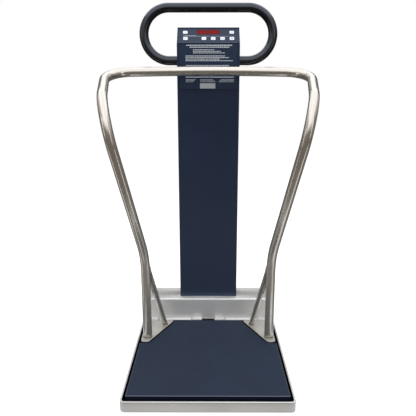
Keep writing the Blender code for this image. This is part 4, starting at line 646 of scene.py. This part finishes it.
def grip_rubber():
    """The handle's smooth black sleeve, with a painted sheen on its upward-facing half."""
    colour = srgb(4, 5, 8)
    look = Shader("grip_rubber", colour, 0.20, specular=0.7)
    look.main.inputs["Specular Tint"].default_value = (0.76, 0.84, 1.0, 1.0)
    cloud = look.noise(14, detail=4, rough=0.6)
    marks = look.noise(detail=4, rough=0.6, stretch=(14, 260, 1), source="UV")
    tone = look.fade(cloud, 0.35, 0.7, 1.0, tint(colour, 0.8), tint(colour, 1.25))
    # Painted sheen: upward-facing surfaces turn lighter
    look.paint(look.mix(look.upward(0.0, 0.25), tone, srgb(9, 12, 18)))
    look.gloss(look.spread(cloud, 0.3, 0.7, 0.14, 0.20), look.spread(marks, 0.55, 0.75, 0.0, 0.06))
    look.relief(look.noise(700, detail=2), 0.00003, 0.35)
    look.relief(cloud, 0.0006, 0.25)
    return look.material


def black_rubber():
    colour = srgb(24, 24, 25)
    look = Shader("tyre_rubber", colour, 0.7, specular=0.3)
    dust = look.noise(60, detail=5, rough=0.65)
    look.paint(look.fade(dust, 0.5, 0.75, 0.55, colour, srgb(70, 68, 64)))
    look.gloss(look.spread(dust, 0.3, 0.7, 0.6, 0.82))
    look.relief(look.noise(900, detail=2), 0.00006, 0.4)
    return look.material


def weld_steel():
    """Weld beads: bright ripples with a straw heat colour and dark pits."""
    colour = (0.52, 0.50, 0.46, 1.0)
    look = Shader("weld_steel", colour, 0.42, metallic=0.4)
    heat = look.noise(70, rough=0.55)
    fine = look.noise(900)
    pits = look.noise(330, detail=1)
    straw = look.fade(heat, 0.4, 0.6, 1.0, colour, (0.44, 0.41, 0.35, 1.0))
    look.paint(look.fade(pits, 0.58, 0.64, 0.9, straw, (0.05, 0.045, 0.04, 1.0)))
    look.gloss(look.spread(fine, 0.3, 0.7, 0.28, 0.46))
    look.relief(fine, 0.00010, 0.5)
    return look.material


def red_window():
    """Dark red filter over the display."""
    colour = srgb(112, 20, 20)
    look = Shader("red_window", colour, 0.22, specular=0.05)
    haze = look.noise(160)
    look.paint(look.fade(haze, 0.35, 0.7, 1.0, tint(colour, 0.82), tint(colour, 1.08)))
    look.gloss(look.spread(haze, 0.3, 0.7, 0.18, 0.30))
    return look.material


def circuit_board():
    colour = srgb(26, 92, 54)
    look = Shader("circuit_board", colour, 0.4, specular=0.4)
    lines = look.noise(detail=1, stretch=(700, 90, 700))
    look.paint(look.fade(lines, 0.52, 0.56, 1.0, colour, srgb(52, 126, 78)))
    look.relief(lines, 0.00005, 0.3)
    return look.material


def make_materials():
    return {
        "aluminium": brushed_sheet("bare_aluminium", (40, 40, 500), (0.60, 0.61, 0.62, 1.0), 0.42),
        "frame": brushed_sheet("frame_sheet", GRAIN_ALONG_X, (0.465, 0.455, 0.44, 1.0), 0.42, 0.7, 0.8,
                               FRAME_PAINTED_SHADE, FRAME_PAINTED_HIGHLIGHT, FRAME_FOLD_PAINTED_SHADE),
        "housing": brushed_sheet("housing_sheet", GRAIN_ALONG_X, (0.77, 0.77, 0.76, 1.0), 0.38, 0.5, 0.8,
                                 bright=HOUSING_PAINTED_HIGHLIGHT),
        "sheet_x": brushed_sheet("steel_sheet", GRAIN_ALONG_X, (0.60, 0.59, 0.57, 1.0), 0.34),
        "plate": brushed_sheet("steel_plate", (120, 500, 500), (0.60, 0.58, 0.54, 1.0), 0.40, 0.45,
                               painted_shade_sides=True),
        "tube": tube_steel("steel_tube", (0.53, 0.505, 0.465, 1.0), 0.19),
        "fastener": brushed_sheet("steel_fastener", (300, 300, 300), (0.56, 0.55, 0.53, 1.0), 0.30),
        "clip": brushed_sheet("clip_sheet", (60, 500, 500), (0.86, 0.86, 0.85, 1.0), 0.36, 0.35),
        "weld": weld_steel(),
        # Painted light: the navy coat turns lighter toward its foot
        "column": powder_coat("navy_coat", srgb(27, 39, 62), 0.40, 0.22, foot=srgb(50, 61, 82)),
        "column_foot": powder_coat("foot_coat", srgb(54, 68, 88), 0.38),
        "overlay": powder_coat("overlay_film", srgb(31, 45, 67), 0.36, 0.25, 0.00006),
        "console": powder_coat("console_film", srgb(42, 53, 70), 0.36, 0.13, 0.00006),
        "mat": mat_rubber(),
        "plate_paint": powder_coat("plate_coat", srgb(22, 28, 45), 0.5, 0.10, dark=PLATE_PAINTED_SHADE),
        "grip": grip_rubber(),
        "clamp": moulded("clamp_black", (26, 26, 28), 0.42),
        "rubber": black_rubber(),
        "key": moulded("key_plastic", (226, 230, 236), 0.38),
        "ink_pale": moulded("ink_pale", (206, 211, 218), 0.55, 0.2),
        "ink_dark": moulded("ink_dark", (84, 96, 112), 0.55, 0.2),
        "window": red_window(),
        "segment": moulded("segment_red", (132, 34, 32), 0.5, 0.05),
        "sticker": moulded("sticker_grey", (182, 186, 188), 0.5, 0.3),
        "board": circuit_board(),
        "battery": moulded("battery_wrap", (44, 62, 106), 0.42),
        "hub": moulded("hub_grey", (92, 94, 98), 0.48),
        "socket": moulded("socket_black", (30, 30, 32), 0.4),
        "cable": moulded("cable_sheath", (34, 34, 36), 0.5),
    }


# Paths and loops

def arms(corners, i):
    """The unit directions from a corner to the one before it and the one after it."""
    here, ahead = corners[i], corners[(i + 1) % len(corners)]
    return (corners[i - 1] - here).normalized(), (ahead - here).normalized()


def arc_at(corner, before, after, radius, steps):
    """Points of the arc that rounds a corner between two unit directions."""
    opening = before.angle(after)
    reach = radius / tan(opening / 2)
    centre = corner + (before + after).normalized() * (radius / sin(opening / 2))
    first = corner + before * reach - centre
    last = corner + after * reach - centre
    turn = pi - opening
    points = []
    for k in range(steps + 1):
        share = k / steps
        points.append(centre + first * (sin((1 - share) * turn) / sin(turn))
                      + last * (sin(share * turn) / sin(turn)))
    return points


def bent_path(corners, radii, step_deg=3.0):
    """The centre line of a bent tube: straight runs joined by arcs."""
    corners = [Vector(corner) for corner in corners]
    points = [corners[0]]
    for i, radius in enumerate(radii, start=1):
        before, after = arms(corners, i)
        turn_deg = 180 - degrees(before.angle(after))
        points.extend(arc_at(corners[i], before, after, radius, max(3, ceil(turn_deg / step_deg))))
    return [*points, corners[-1]]


def subdivided(points, longest):
    """The same path with no run longer than this."""
    dense = [points[0]]
    for start, end in zip(points, points[1:]):
        count = max(1, ceil((end - start).length / longest))
        dense.extend(start.lerp(end, k / count) for k in range(1, count + 1))
    return dense


def path_lengths(points):
    """The length of a path up to each of its points."""
    lengths = [0.0]
    for start, end in zip(points, points[1:]):
        lengths.append(lengths[-1] + (end - start).length)
    return lengths


def resampled(points, count):
    """The same line with this many points at even steps."""
    lengths = path_lengths(points)
    result, i = [], 0
    for k in range(count):
        aim = lengths[-1] * k / (count - 1)
        while i < len(points) - 2 and lengths[i + 1] < aim:
            i += 1
        result.append(points[i].lerp(points[i + 1], (aim - lengths[i]) / (lengths[i + 1] - lengths[i])))
    return result


def trimmed(points, axis, limit):
    """The part of a line that lies below a limit along one axis."""
    result = []
    for start, end in zip(points, points[1:]):
        low, high = start[axis] <= limit, end[axis] <= limit
        if low:
            result.append(start)
        if low != high:
            result.append(start.lerp(end, (limit - start[axis]) / (end[axis] - start[axis])))
    if points[-1][axis] <= limit:
        result.append(points[-1])
    return result


def circle(centre, radius, first, second, stretch=1.0, count=40):
    """A loop in the plane of two directions, stretched along the first."""
    points = []
    for k in range(count):
        angle = 2 * pi * k / count
        along = first * (radius * stretch * cos(angle))
        points.append(centre + along + second * (radius * sin(angle)))
    return points


def joint_loop(foot, slant, radius, centre, direction, other_radius):
    """The loop where a slim tube meets a thicker one."""
    side = slant.orthogonal().normalized()
    points = []
    for start in circle(foot, radius, side, slant.cross(side)):
        gap = start - centre
        across = gap - direction * gap.dot(direction)
        run = slant - direction * slant.dot(direction)
        a, b, c = run.dot(run), 2 * across.dot(run), across.dot(across) - other_radius ** 2
        root = sqrt(max(0.0, b * b - 4 * a * c))
        points.append(start + slant * ((-b - root) / (2 * a)))
    return points


# Meshes

def from_bmesh(name, mesh):
    data = bpy.data.meshes.new(name)
    mesh.to_mesh(data)
    mesh.free()
    return linked(name, data)


def smooth(obj, angle_deg=35):
    obj.data.shade_smooth()
    obj.data.set_sharp_from_angle(angle=radians(angle_deg))
    return obj


def path_directions(path, closed):
    """The direction of a path at each point; repeated points take the one before."""
    first, last = (path[-1], path[0]) if closed else (path[0], path[-1])
    runs = [ahead - behind for behind, ahead in zip([first, *path], [*path[1:], last])]
    repeated = 1e-7
    known = next(run for run in runs if run.length > repeated)
    directions = []
    for run in runs:
        known = run if run.length > repeated else known
        directions.append(known.normalized())
    return directions


def sweep(name, path, radii, sides, closed=False):
    """A round tube along a path, with its length and girth in metres as UV."""
    count = len(path)
    if isinstance(radii, (int, float)):
        radii = [radii] * count
    mesh = bmesh.new()
    uv = mesh.loops.layers.uv.new("UVMap")
    directions = path_directions(path, closed)
    side = directions[0].orthogonal().normalized()
    rings = []
    for place, direction, radius in zip(path, directions, radii):
        side = (side - direction * side.dot(direction)).normalized()
        ring = circle(place, radius, side, direction.cross(side), count=sides)
        rings.append([mesh.verts.new(point) for point in ring])
    lengths = path_lengths([*path, path[0]])
    girth = 2 * pi * max(radii)
    for i in range(count if closed else count - 1):
        near, far = rings[i], rings[(i + 1) % count]
        for k in range(sides):
            following = (k + 1) % sides
            face = mesh.faces.new((near[k], near[following], far[following], far[k]))
            face.smooth = True
            for loop, (step, turn) in zip(face.loops, ((i, k), (i, k + 1), (i + 1, k + 1), (i + 1, k))):
                loop[uv].uv = (lengths[step], girth * turn / sides)
    if not closed:
        for ring in (list(reversed(rings[0])), rings[-1]):
            face = mesh.faces.new(ring)
            for loop in face.loops:
                loop[uv].uv = (loop.vert.co.x, loop.vert.co.y)
    bmesh.ops.recalc_face_normals(mesh, faces=mesh.faces)
    return from_bmesh(name, mesh)


def slab(name, low, high, edge=0.0, steps=1, to_world=None, corner=0.0):
    """A box with rounded edges; corner rounds the edges along its own Z first."""
    mesh = bmesh.new()
    bmesh.ops.create_cube(mesh, size=1)
    low, high = Vector(low), Vector(high)
    fit = Matrix.Translation((low + high) / 2) @ Matrix.Diagonal((*(high - low), 1))
    bmesh.ops.transform(mesh, matrix=fit, verts=mesh.verts)
    if corner:
        upright = [e for e in mesh.edges if abs((e.verts[0].co - e.verts[1].co).normalized().z) > 0.9]
        bmesh.ops.bevel(mesh, geom=upright, offset=corner, segments=6, profile=0.5, affect="EDGES")
    if edge:
        sharp = [e for e in mesh.edges if e.calc_face_angle(0) > radians(35)]
        bmesh.ops.bevel(mesh, geom=sharp, offset=edge, segments=steps, profile=0.5, affect="EDGES")
    if to_world is not None:
        bmesh.ops.transform(mesh, matrix=to_world, verts=mesh.verts)
    return smooth(from_bmesh(name, mesh))


def slope_bar(x, up, width, height, low, high, edge=0.0):
    """A small bar on the console's slope, between two levels over it."""
    corner = (x + width / 2, up + height / 2, high)
    return slab("bar", (x - width / 2, up - height / 2, low), corner, edge, to_world=SLOPE_FRAME)


def slope_mark(name, low_x, high_x, low_up, high_up):
    """A printed mark on the console's slope."""
    low = (low_x, low_up, PANEL_TOP - MARK_SINK)
    return slab(name, low, (high_x, high_up, PANEL_TOP + CONSOLE_INK), to_world=SLOPE_FRAME)


def label_mark(name, low_x, high_x, low_z, high_z, rise, edge=0.0):
    """A thin mark on the plate under the console."""
    return slab(name, (low_x, LABEL_FACE_Y - rise, low_z), (high_x, LABEL_FACE_Y + MARK_SINK, high_z), edge)


def turned(name, profile, to_world, steps):
    """A turned shape about the matrix's Z axis, from (radius, height) pairs."""
    mesh = bmesh.new()
    verts = [mesh.verts.new((radius, 0, height)) for radius, height in profile]
    edges = [mesh.edges.new(pair) for pair in zip(verts, verts[1:])]
    bmesh.ops.spin(mesh, geom=verts + edges, axis=(0, 0, 1), cent=(0, 0, 0), steps=steps, angle=2 * pi)
    bmesh.ops.remove_doubles(mesh, verts=mesh.verts, dist=0.000005)
    bmesh.ops.recalc_face_normals(mesh, faces=mesh.faces)
    bmesh.ops.transform(mesh, matrix=to_world, verts=mesh.verts)
    return smooth(from_bmesh(name, mesh), 40)


def joined(name, objects):
    """Several meshes as one piece."""
    mesh = bmesh.new()
    for obj in objects:
        mesh.from_mesh(obj.data)
        bpy.data.objects.remove(obj, do_unlink=True)
    return smooth(from_bmesh(name, mesh), 40)


def dress(obj, material, body, replaces=()):
    obj.data.materials.clear()
    obj.data.materials.append(material)
    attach(obj, body)
    if replaces:
        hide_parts(*replaces)


# Pieces

def mat_edge_at_gusset(inset):
    """The mat's outline round the right gusset plate, from the side edge to the rear edge."""
    gap = GUSSET_MAT_GAP + inset
    outer_x = PLATFORM_HALF - GUSSET_INSET
    rear_y = PLATFORM_REAR_Y - GUSSET_INSET
    front_y = rear_y - GUSSET_DEPTH
    places = ((outer_x, rear_y), (outer_x - GUSSET_WIDTH, rear_y),
              (outer_x - 2 * GUSSET_FRONT_RADIUS, front_y), (outer_x, front_y))
    corners = [Vector((x, y, 0)) for x, y in places]
    moved = []
    for i, here in enumerate(corners):
        before, after = arms(corners, i)
        moved.append(here - (before + after).normalized() * (gap / sin(before.angle(after) / 2)))
    line = [Vector((PLATFORM_HALF + gap, moved[3].y, 0))]
    for i, radius in ((2, GUSSET_FRONT_RADIUS), (1, GUSSET_INNER_RADIUS)):
        after, before = arms(moved, i)
        line.extend(arc_at(moved[i], before, after, radius + gap, 8))
    line = trimmed(trimmed(line, 0, PLATFORM_HALF - inset), 1, PLATFORM_REAR_Y - inset)
    return resampled(line, MAT_CURVE_POINTS)


def mat_outline(inset):
    """One ring of the mat, and which of its points lie on the front and the sides."""
    curve = mat_edge_at_gusset(inset)
    half = PLATFORM_HALF - inset
    corner = max(PLATFORM_CORNER - inset, MAT_LEAST_CORNER)
    front = Vector((half, PLATFORM_FRONT_Y + inset, 0))
    bend = arc_at(front, Vector((-1, 0, 0)), Vector((0, 1, 0)), corner, 4)
    right = [*bend, Vector((half, curve[0].y - MAT_CURVE_LEAD, 0)), *curve]
    on_edge = [True] * (len(bend) + 1) + [False] * len(curve)
    left = [Vector((-p.x, p.y, 0)) for p in reversed(right)]
    return right + left, on_edge + on_edge[::-1]


def build_mat(looks):
    """The mat with a soft nosing and a low raised lip along its front and side edges."""
    mesh = bmesh.new()
    loops = []
    for inset, level, lip in MAT_RINGS:
        rise = MAT_LIP_HEIGHT * lip
        loops.append([mesh.verts.new((p.x, p.y, MAT_TOP_Z + level + (rise if edge else 0)))
                      for p, edge in zip(*mat_outline(inset))])
    count = len(loops[0])
    for lower, upper in zip(loops, loops[1:]):
        for k in range(count):
            mesh.faces.new((lower[k], lower[(k + 1) % count], upper[(k + 1) % count], upper[k]))
    mesh.faces.new(loops[-1])
    mesh.faces.new(list(reversed(loops[0])))
    bmesh.ops.recalc_face_normals(mesh, faces=mesh.faces)
    bmesh.ops.triangulate(mesh, faces=[f for f in mesh.faces if len(f.verts) > 4])
    mat = smooth(from_bmesh("mat_sheet", mesh), 50)
    dress(mat, looks["mat"], "platform", ("platform_mat",))


def rail_path():
    left = [(x, COLUMN_FACE_Y + behind, z) for x, behind, z in RAIL_CORNERS]
    right = [(-x, y, z) for x, y, z in reversed(left[:-1])]
    return bent_path(left + right, [*RAIL_BENDS, RAIL_TOP_BEND, *reversed(RAIL_BENDS)])


def leg_point(path, height, sign):
    """Place and direction of a leg's centre line at a height."""
    for start, end in zip(path, path[1:]):
        if start.z <= height <= end.z:
            place = start.lerp(end, (height - start.z) / (end.z - start.z))
            direction = (end - start).normalized()
            return [Vector((-sign * point.x, point.y, point.z)) for point in (place, direction)]
    raise ValueError("no leg at this height")


def bead(loop, radius):
    """A weld bead along a closed loop, with the overlapping ripples of its passes."""
    points = subdivided([*loop, loop[0]], BEAD_STEP)[:-1]
    along, radii = 0.0, []
    for i, point in enumerate(points):
        along += (point - points[i - 1]).length
        wave = abs(sin(pi * along / BEAD_RIPPLE))
        radii.append(radius * (0.84 + 0.20 * wave + 0.05 * sin(along * 190)))
    return sweep("bead", points, radii, 10, closed=True)


def build_rail(looks):
    path = rail_path()
    rail = sweep("rail_tube", subdivided(path, RAIL_RUN), RAIL_RADIUS, 72)
    dress(rail, looks["tube"], "platform", ("grab_rail",))
    up = Vector((0, 0, 1))
    for side, sign in SIDES:
        foot = Vector((sign * BRACE_FOOT[0], COLUMN_FACE_Y + BRACE_FOOT[1], GUSSET_TOP_Z))
        top, direction = leg_point(path, BRACE_TOP_Z, sign)
        slant = (top - foot).normalized()
        ends = [foot + slant * 0.001, top - slant * RAIL_RADIUS * 0.6]
        brace = sweep(f"brace_tube_{side}", subdivided(ends, TUBE_RUN), BRACE_RADIUS, 32)
        dress(brace, looks["tube"], "platform", (f"rail_brace_{side}",))
        leg = Vector((sign * -RAIL_CORNERS[0][0], COLUMN_FACE_Y + RAIL_CORNERS[0][1], GUSSET_TOP_Z + 0.0012))
        across = up.orthogonal().normalized()
        lean = Vector((slant.x, slant.y, 0)).normalized()
        beads = [
            bead(circle(leg, RAIL_RADIUS + 0.0002, across, up.cross(across)), LEG_BEAD),
            bead(circle(foot + up * 0.001, BRACE_RADIUS + 0.0005, lean, up.cross(lean), 1 / slant.z),
                 BRACE_FOOT_BEAD),
            bead(joint_loop(foot, slant, BRACE_RADIUS, top, direction, RAIL_RADIUS), BRACE_TOP_BEAD),
        ]
        dress(joined(f"weld_beads_{side}", beads), looks["weld"], "platform")


def handle_arc(start_deg, centre_x):
    """Half a turn of the ring's centre line."""
    step_deg = 3
    angles = [radians(start_deg + step_deg * k) for k in range(180 // step_deg + 1)]
    return [Vector((centre_x + HANDLE_BEND * cos(angle), HANDLE_Y, HANDLE_MID_Z + HANDLE_BEND * sin(angle)))
            for angle in angles]


def build_handle(looks):
    """The closed metal ring, and the sleeve round it that leaves the middle below bare."""
    right, left = handle_arc(-90, HANDLE_END_X), handle_arc(90, -HANDLE_END_X)
    ring = subdivided([*right, *left, right[0]], TUBE_RUN)[:-1]
    tube = sweep("handle_bar", ring, RING_RADIUS, 32, closed=True)
    dress(tube, looks["aluminium"], "base", ("handle_tube",))

    low_z = HANDLE_MID_Z - HANDLE_BEND
    first, last = [Vector((sign * GRIP_END_X, HANDLE_Y, low_z)) for sign in (1, -1)]
    body = subdivided([first, *right, *left, last], RAIL_RUN)[1:-1]
    profile = [(0.0, RING_RADIUS + 0.0004)]
    for k in range(5):
        angle = radians(90 * k / 4)
        rise = GRIP_ROUNDING * (1 - sin(angle))
        profile.append((GRIP_ROUNDING * (1 - cos(angle)), GRIP_RADIUS - rise))
    start = [first + Vector((along, 0, 0)) for along, _ in profile]
    end = [last - Vector((along, 0, 0)) for along, _ in reversed(profile)]
    rim = [radius for _, radius in profile]
    radii = rim + [GRIP_RADIUS] * len(body) + rim[::-1]
    grip = sweep("grip_sleeve", start + body + end, radii, 40)
    dress(grip, looks["grip"], "base", ("handle_grip",))


def build_keys(looks):
    """Key caps with plain signs: bars, a plus or a square."""
    places = [(f"key_{row}_{i}", x, up)
              for row, (up, xs) in KEY_ROWS.items() for i, x in enumerate(xs, start=1)]
    width, height = KEY_SIZE
    face = PANEL_TOP + KEY_PROUD
    for name, x, up in places:
        low = (x - width / 2, up - height / 2, PANEL_TOP - KEY_SINK)
        high = (x + width / 2, up + height / 2, face)
        cap = slab(f"{name}_cap", low, high, KEY_EDGE, 4, SLOPE_FRAME, KEY_CORNER)
        dress(cap, looks["key"], name, (name,))
        bars = [slope_bar(x + dx, up + dy, w, h, face - SIGN_INK, face + SIGN_INK, SIGN_EDGE)
                for dx, dy, w, h in KEY_SIGNS[name]]
        dress(joined(f"{name}_sign", bars), looks["ink_dark"], name)


def build_display(looks):
    """Unlit seven-segment digits on the window's skin."""
    middle = SLOPE_LENGTH - WINDOW_MARGIN - WINDOW_HEIGHT / 2
    skin = PANEL_TOP + DIGIT_SKIN
    across, down = DIGIT_WIDTH - DIGIT_STROKE, DIGIT_HEIGHT / 2 - DIGIT_STROKE
    segments = [(0, level * DIGIT_HEIGHT / 2, across, DIGIT_STROKE) for level in (1, 0, -1)]
    segments += [(turn * DIGIT_WIDTH / 2, level * DIGIT_HEIGHT / 4, DIGIT_STROKE, down)
                 for level in (1, -1) for turn in (-1, 1)]
    segments.append((DIGIT_WIDTH / 2 + DIGIT_DOT_GAP, -DIGIT_HEIGHT / 2, DIGIT_STROKE, DIGIT_STROKE))
    bars = []
    for i in range(DIGIT_COUNT):
        x = (i - (DIGIT_COUNT - 1) / 2) * DIGIT_PITCH
        bars += [slope_bar(x + dx, middle + dy, w, h, skin - MARK_SINK, skin) for dx, dy, w, h in segments]
    dress(joined("display_segments", bars), looks["segment"], "base")


def build_print(looks):
    """Rows of short plain dashes on the plate and the console, a seam, one bare pale sticker and a painted
    highlight along the console's lower bend.
    """
    chance = random.Random(7)
    bars = []

    def dashes(z, height, start, stop):
        x = start
        while x < stop:
            length = min(chance.uniform(*DASH_LENGTHS), stop - x)
            if length > LEAST_DASH:
                bars.append(label_mark("bar", x, x + length, z - height / 2, z + height / 2, DASH_INK))
            x += length + DASH_GAP

    def ink(obj, look="ink_pale"):
        dress(obj, looks[look], "base")

    for row in DASH_ROWS:
        dashes(*row)
    for k, z in enumerate(SHORT_ROW_ZS):
        for start, stop, start_step, stop_step in SHORT_RUNS:
            dashes(z, SHORT_ROW_HEIGHT, start + start_step * k, stop + stop_step * k)
    ink(joined("panel_dashes", bars))
    ink(label_mark("bare_sticker", *STICKER_BOX, STICKER_FILM, STICKER_EDGE), "sticker")
    ink(label_mark("panel_seam", *SEAM_BOX, SEAM_INK), "plate_paint")
    ink(slope_mark("console_rule", *RULE_BOX))
    caption = []
    x = CAPTION_START
    while x < CAPTION_END:
        length = chance.uniform(*CAPTION_LENGTHS)
        caption.append(slope_mark("bar", x, x + length, *CAPTION_BAND))
        x += length + CAPTION_GAP
    ink(joined("console_dashes", caption))
    # Painted highlight: a pale line along the console's lower bend
    ink(slope_mark("console_bend_highlight", *CONSOLE_BEND_HIGHLIGHT_BOX), "ink_dark")


def build_screws(looks):
    """Rounded heads on the back cover's edges."""
    outward = Vector((0, 0, 1)).rotation_difference(Vector((0, 1, 0))).to_matrix().to_4x4()
    heads = [turned("head", SCREW_HEAD, Matrix.Translation((x, COLUMN_BACK_Y, z)) @ outward, 24)
             for x in COVER_SCREW_XS for z in COVER_SCREW_ZS]
    dress(joined("cover_screw_heads", heads), looks["fastener"], "base")


def paint_frame(looks):
    """Materials of the CAD pieces, found by how their names begin; the first that fits is taken."""
    starts = {
        "frame": "base_frame", "housing": "rear_housing", "mat": "platform_mat", "plate_paint": "load_plate",
        "column_foot": "column_base", "column": "column_", "overlay": "label_plate", "console": "key_panel",
        "window": "display_window", "board": ("display_board", "main_board"), "battery": "battery_pack",
        "socket": "charger_socket", "cable": "cell_cable", "rubber": ("rubber_foot", "wheel_tyre"),
        "aluminium": ("load_cell", "handle_tube"), "clip": "hold_down_clip", "plate": "gusset_plate",
        "fastener": ("clip_screw", "gusset_screw", "wheel_axle"), "hub": "wheel_hub", "key": "key_",
        "sheet_x": "wheel_bracket", "clamp": "handle_clamp", "tube": ("grab_rail", "rail_brace"),
        "grip": "handle_grip",
    }
    for name, obj in NODES.items():
        look = next(look for look, start in starts.items() if name.startswith(start))
        obj.data.materials.clear()
        obj.data.materials.append(looks[look])
        if name.startswith("gusset_plate"):
            round_off(obj, GUSSET_EDGE)


def round_off(obj, width):
    """Softens a piece's sharp edges, so that they catch the light."""
    rounding = obj.modifiers.new("soft_edges", "BEVEL")
    rounding.width = width
    rounding.segments = 2
    rounding.limit_method = "ANGLE"
    rounding.angle_limit = radians(40)
    rounding.harden_normals = True


def main():
    make_studio()
    looks = make_materials()
    paint_frame(looks)
    build_mat(looks)
    build_rail(looks)
    build_handle(looks)
    build_keys(looks)
    build_display(looks)
    build_print(looks)
    build_screws(looks)


main()
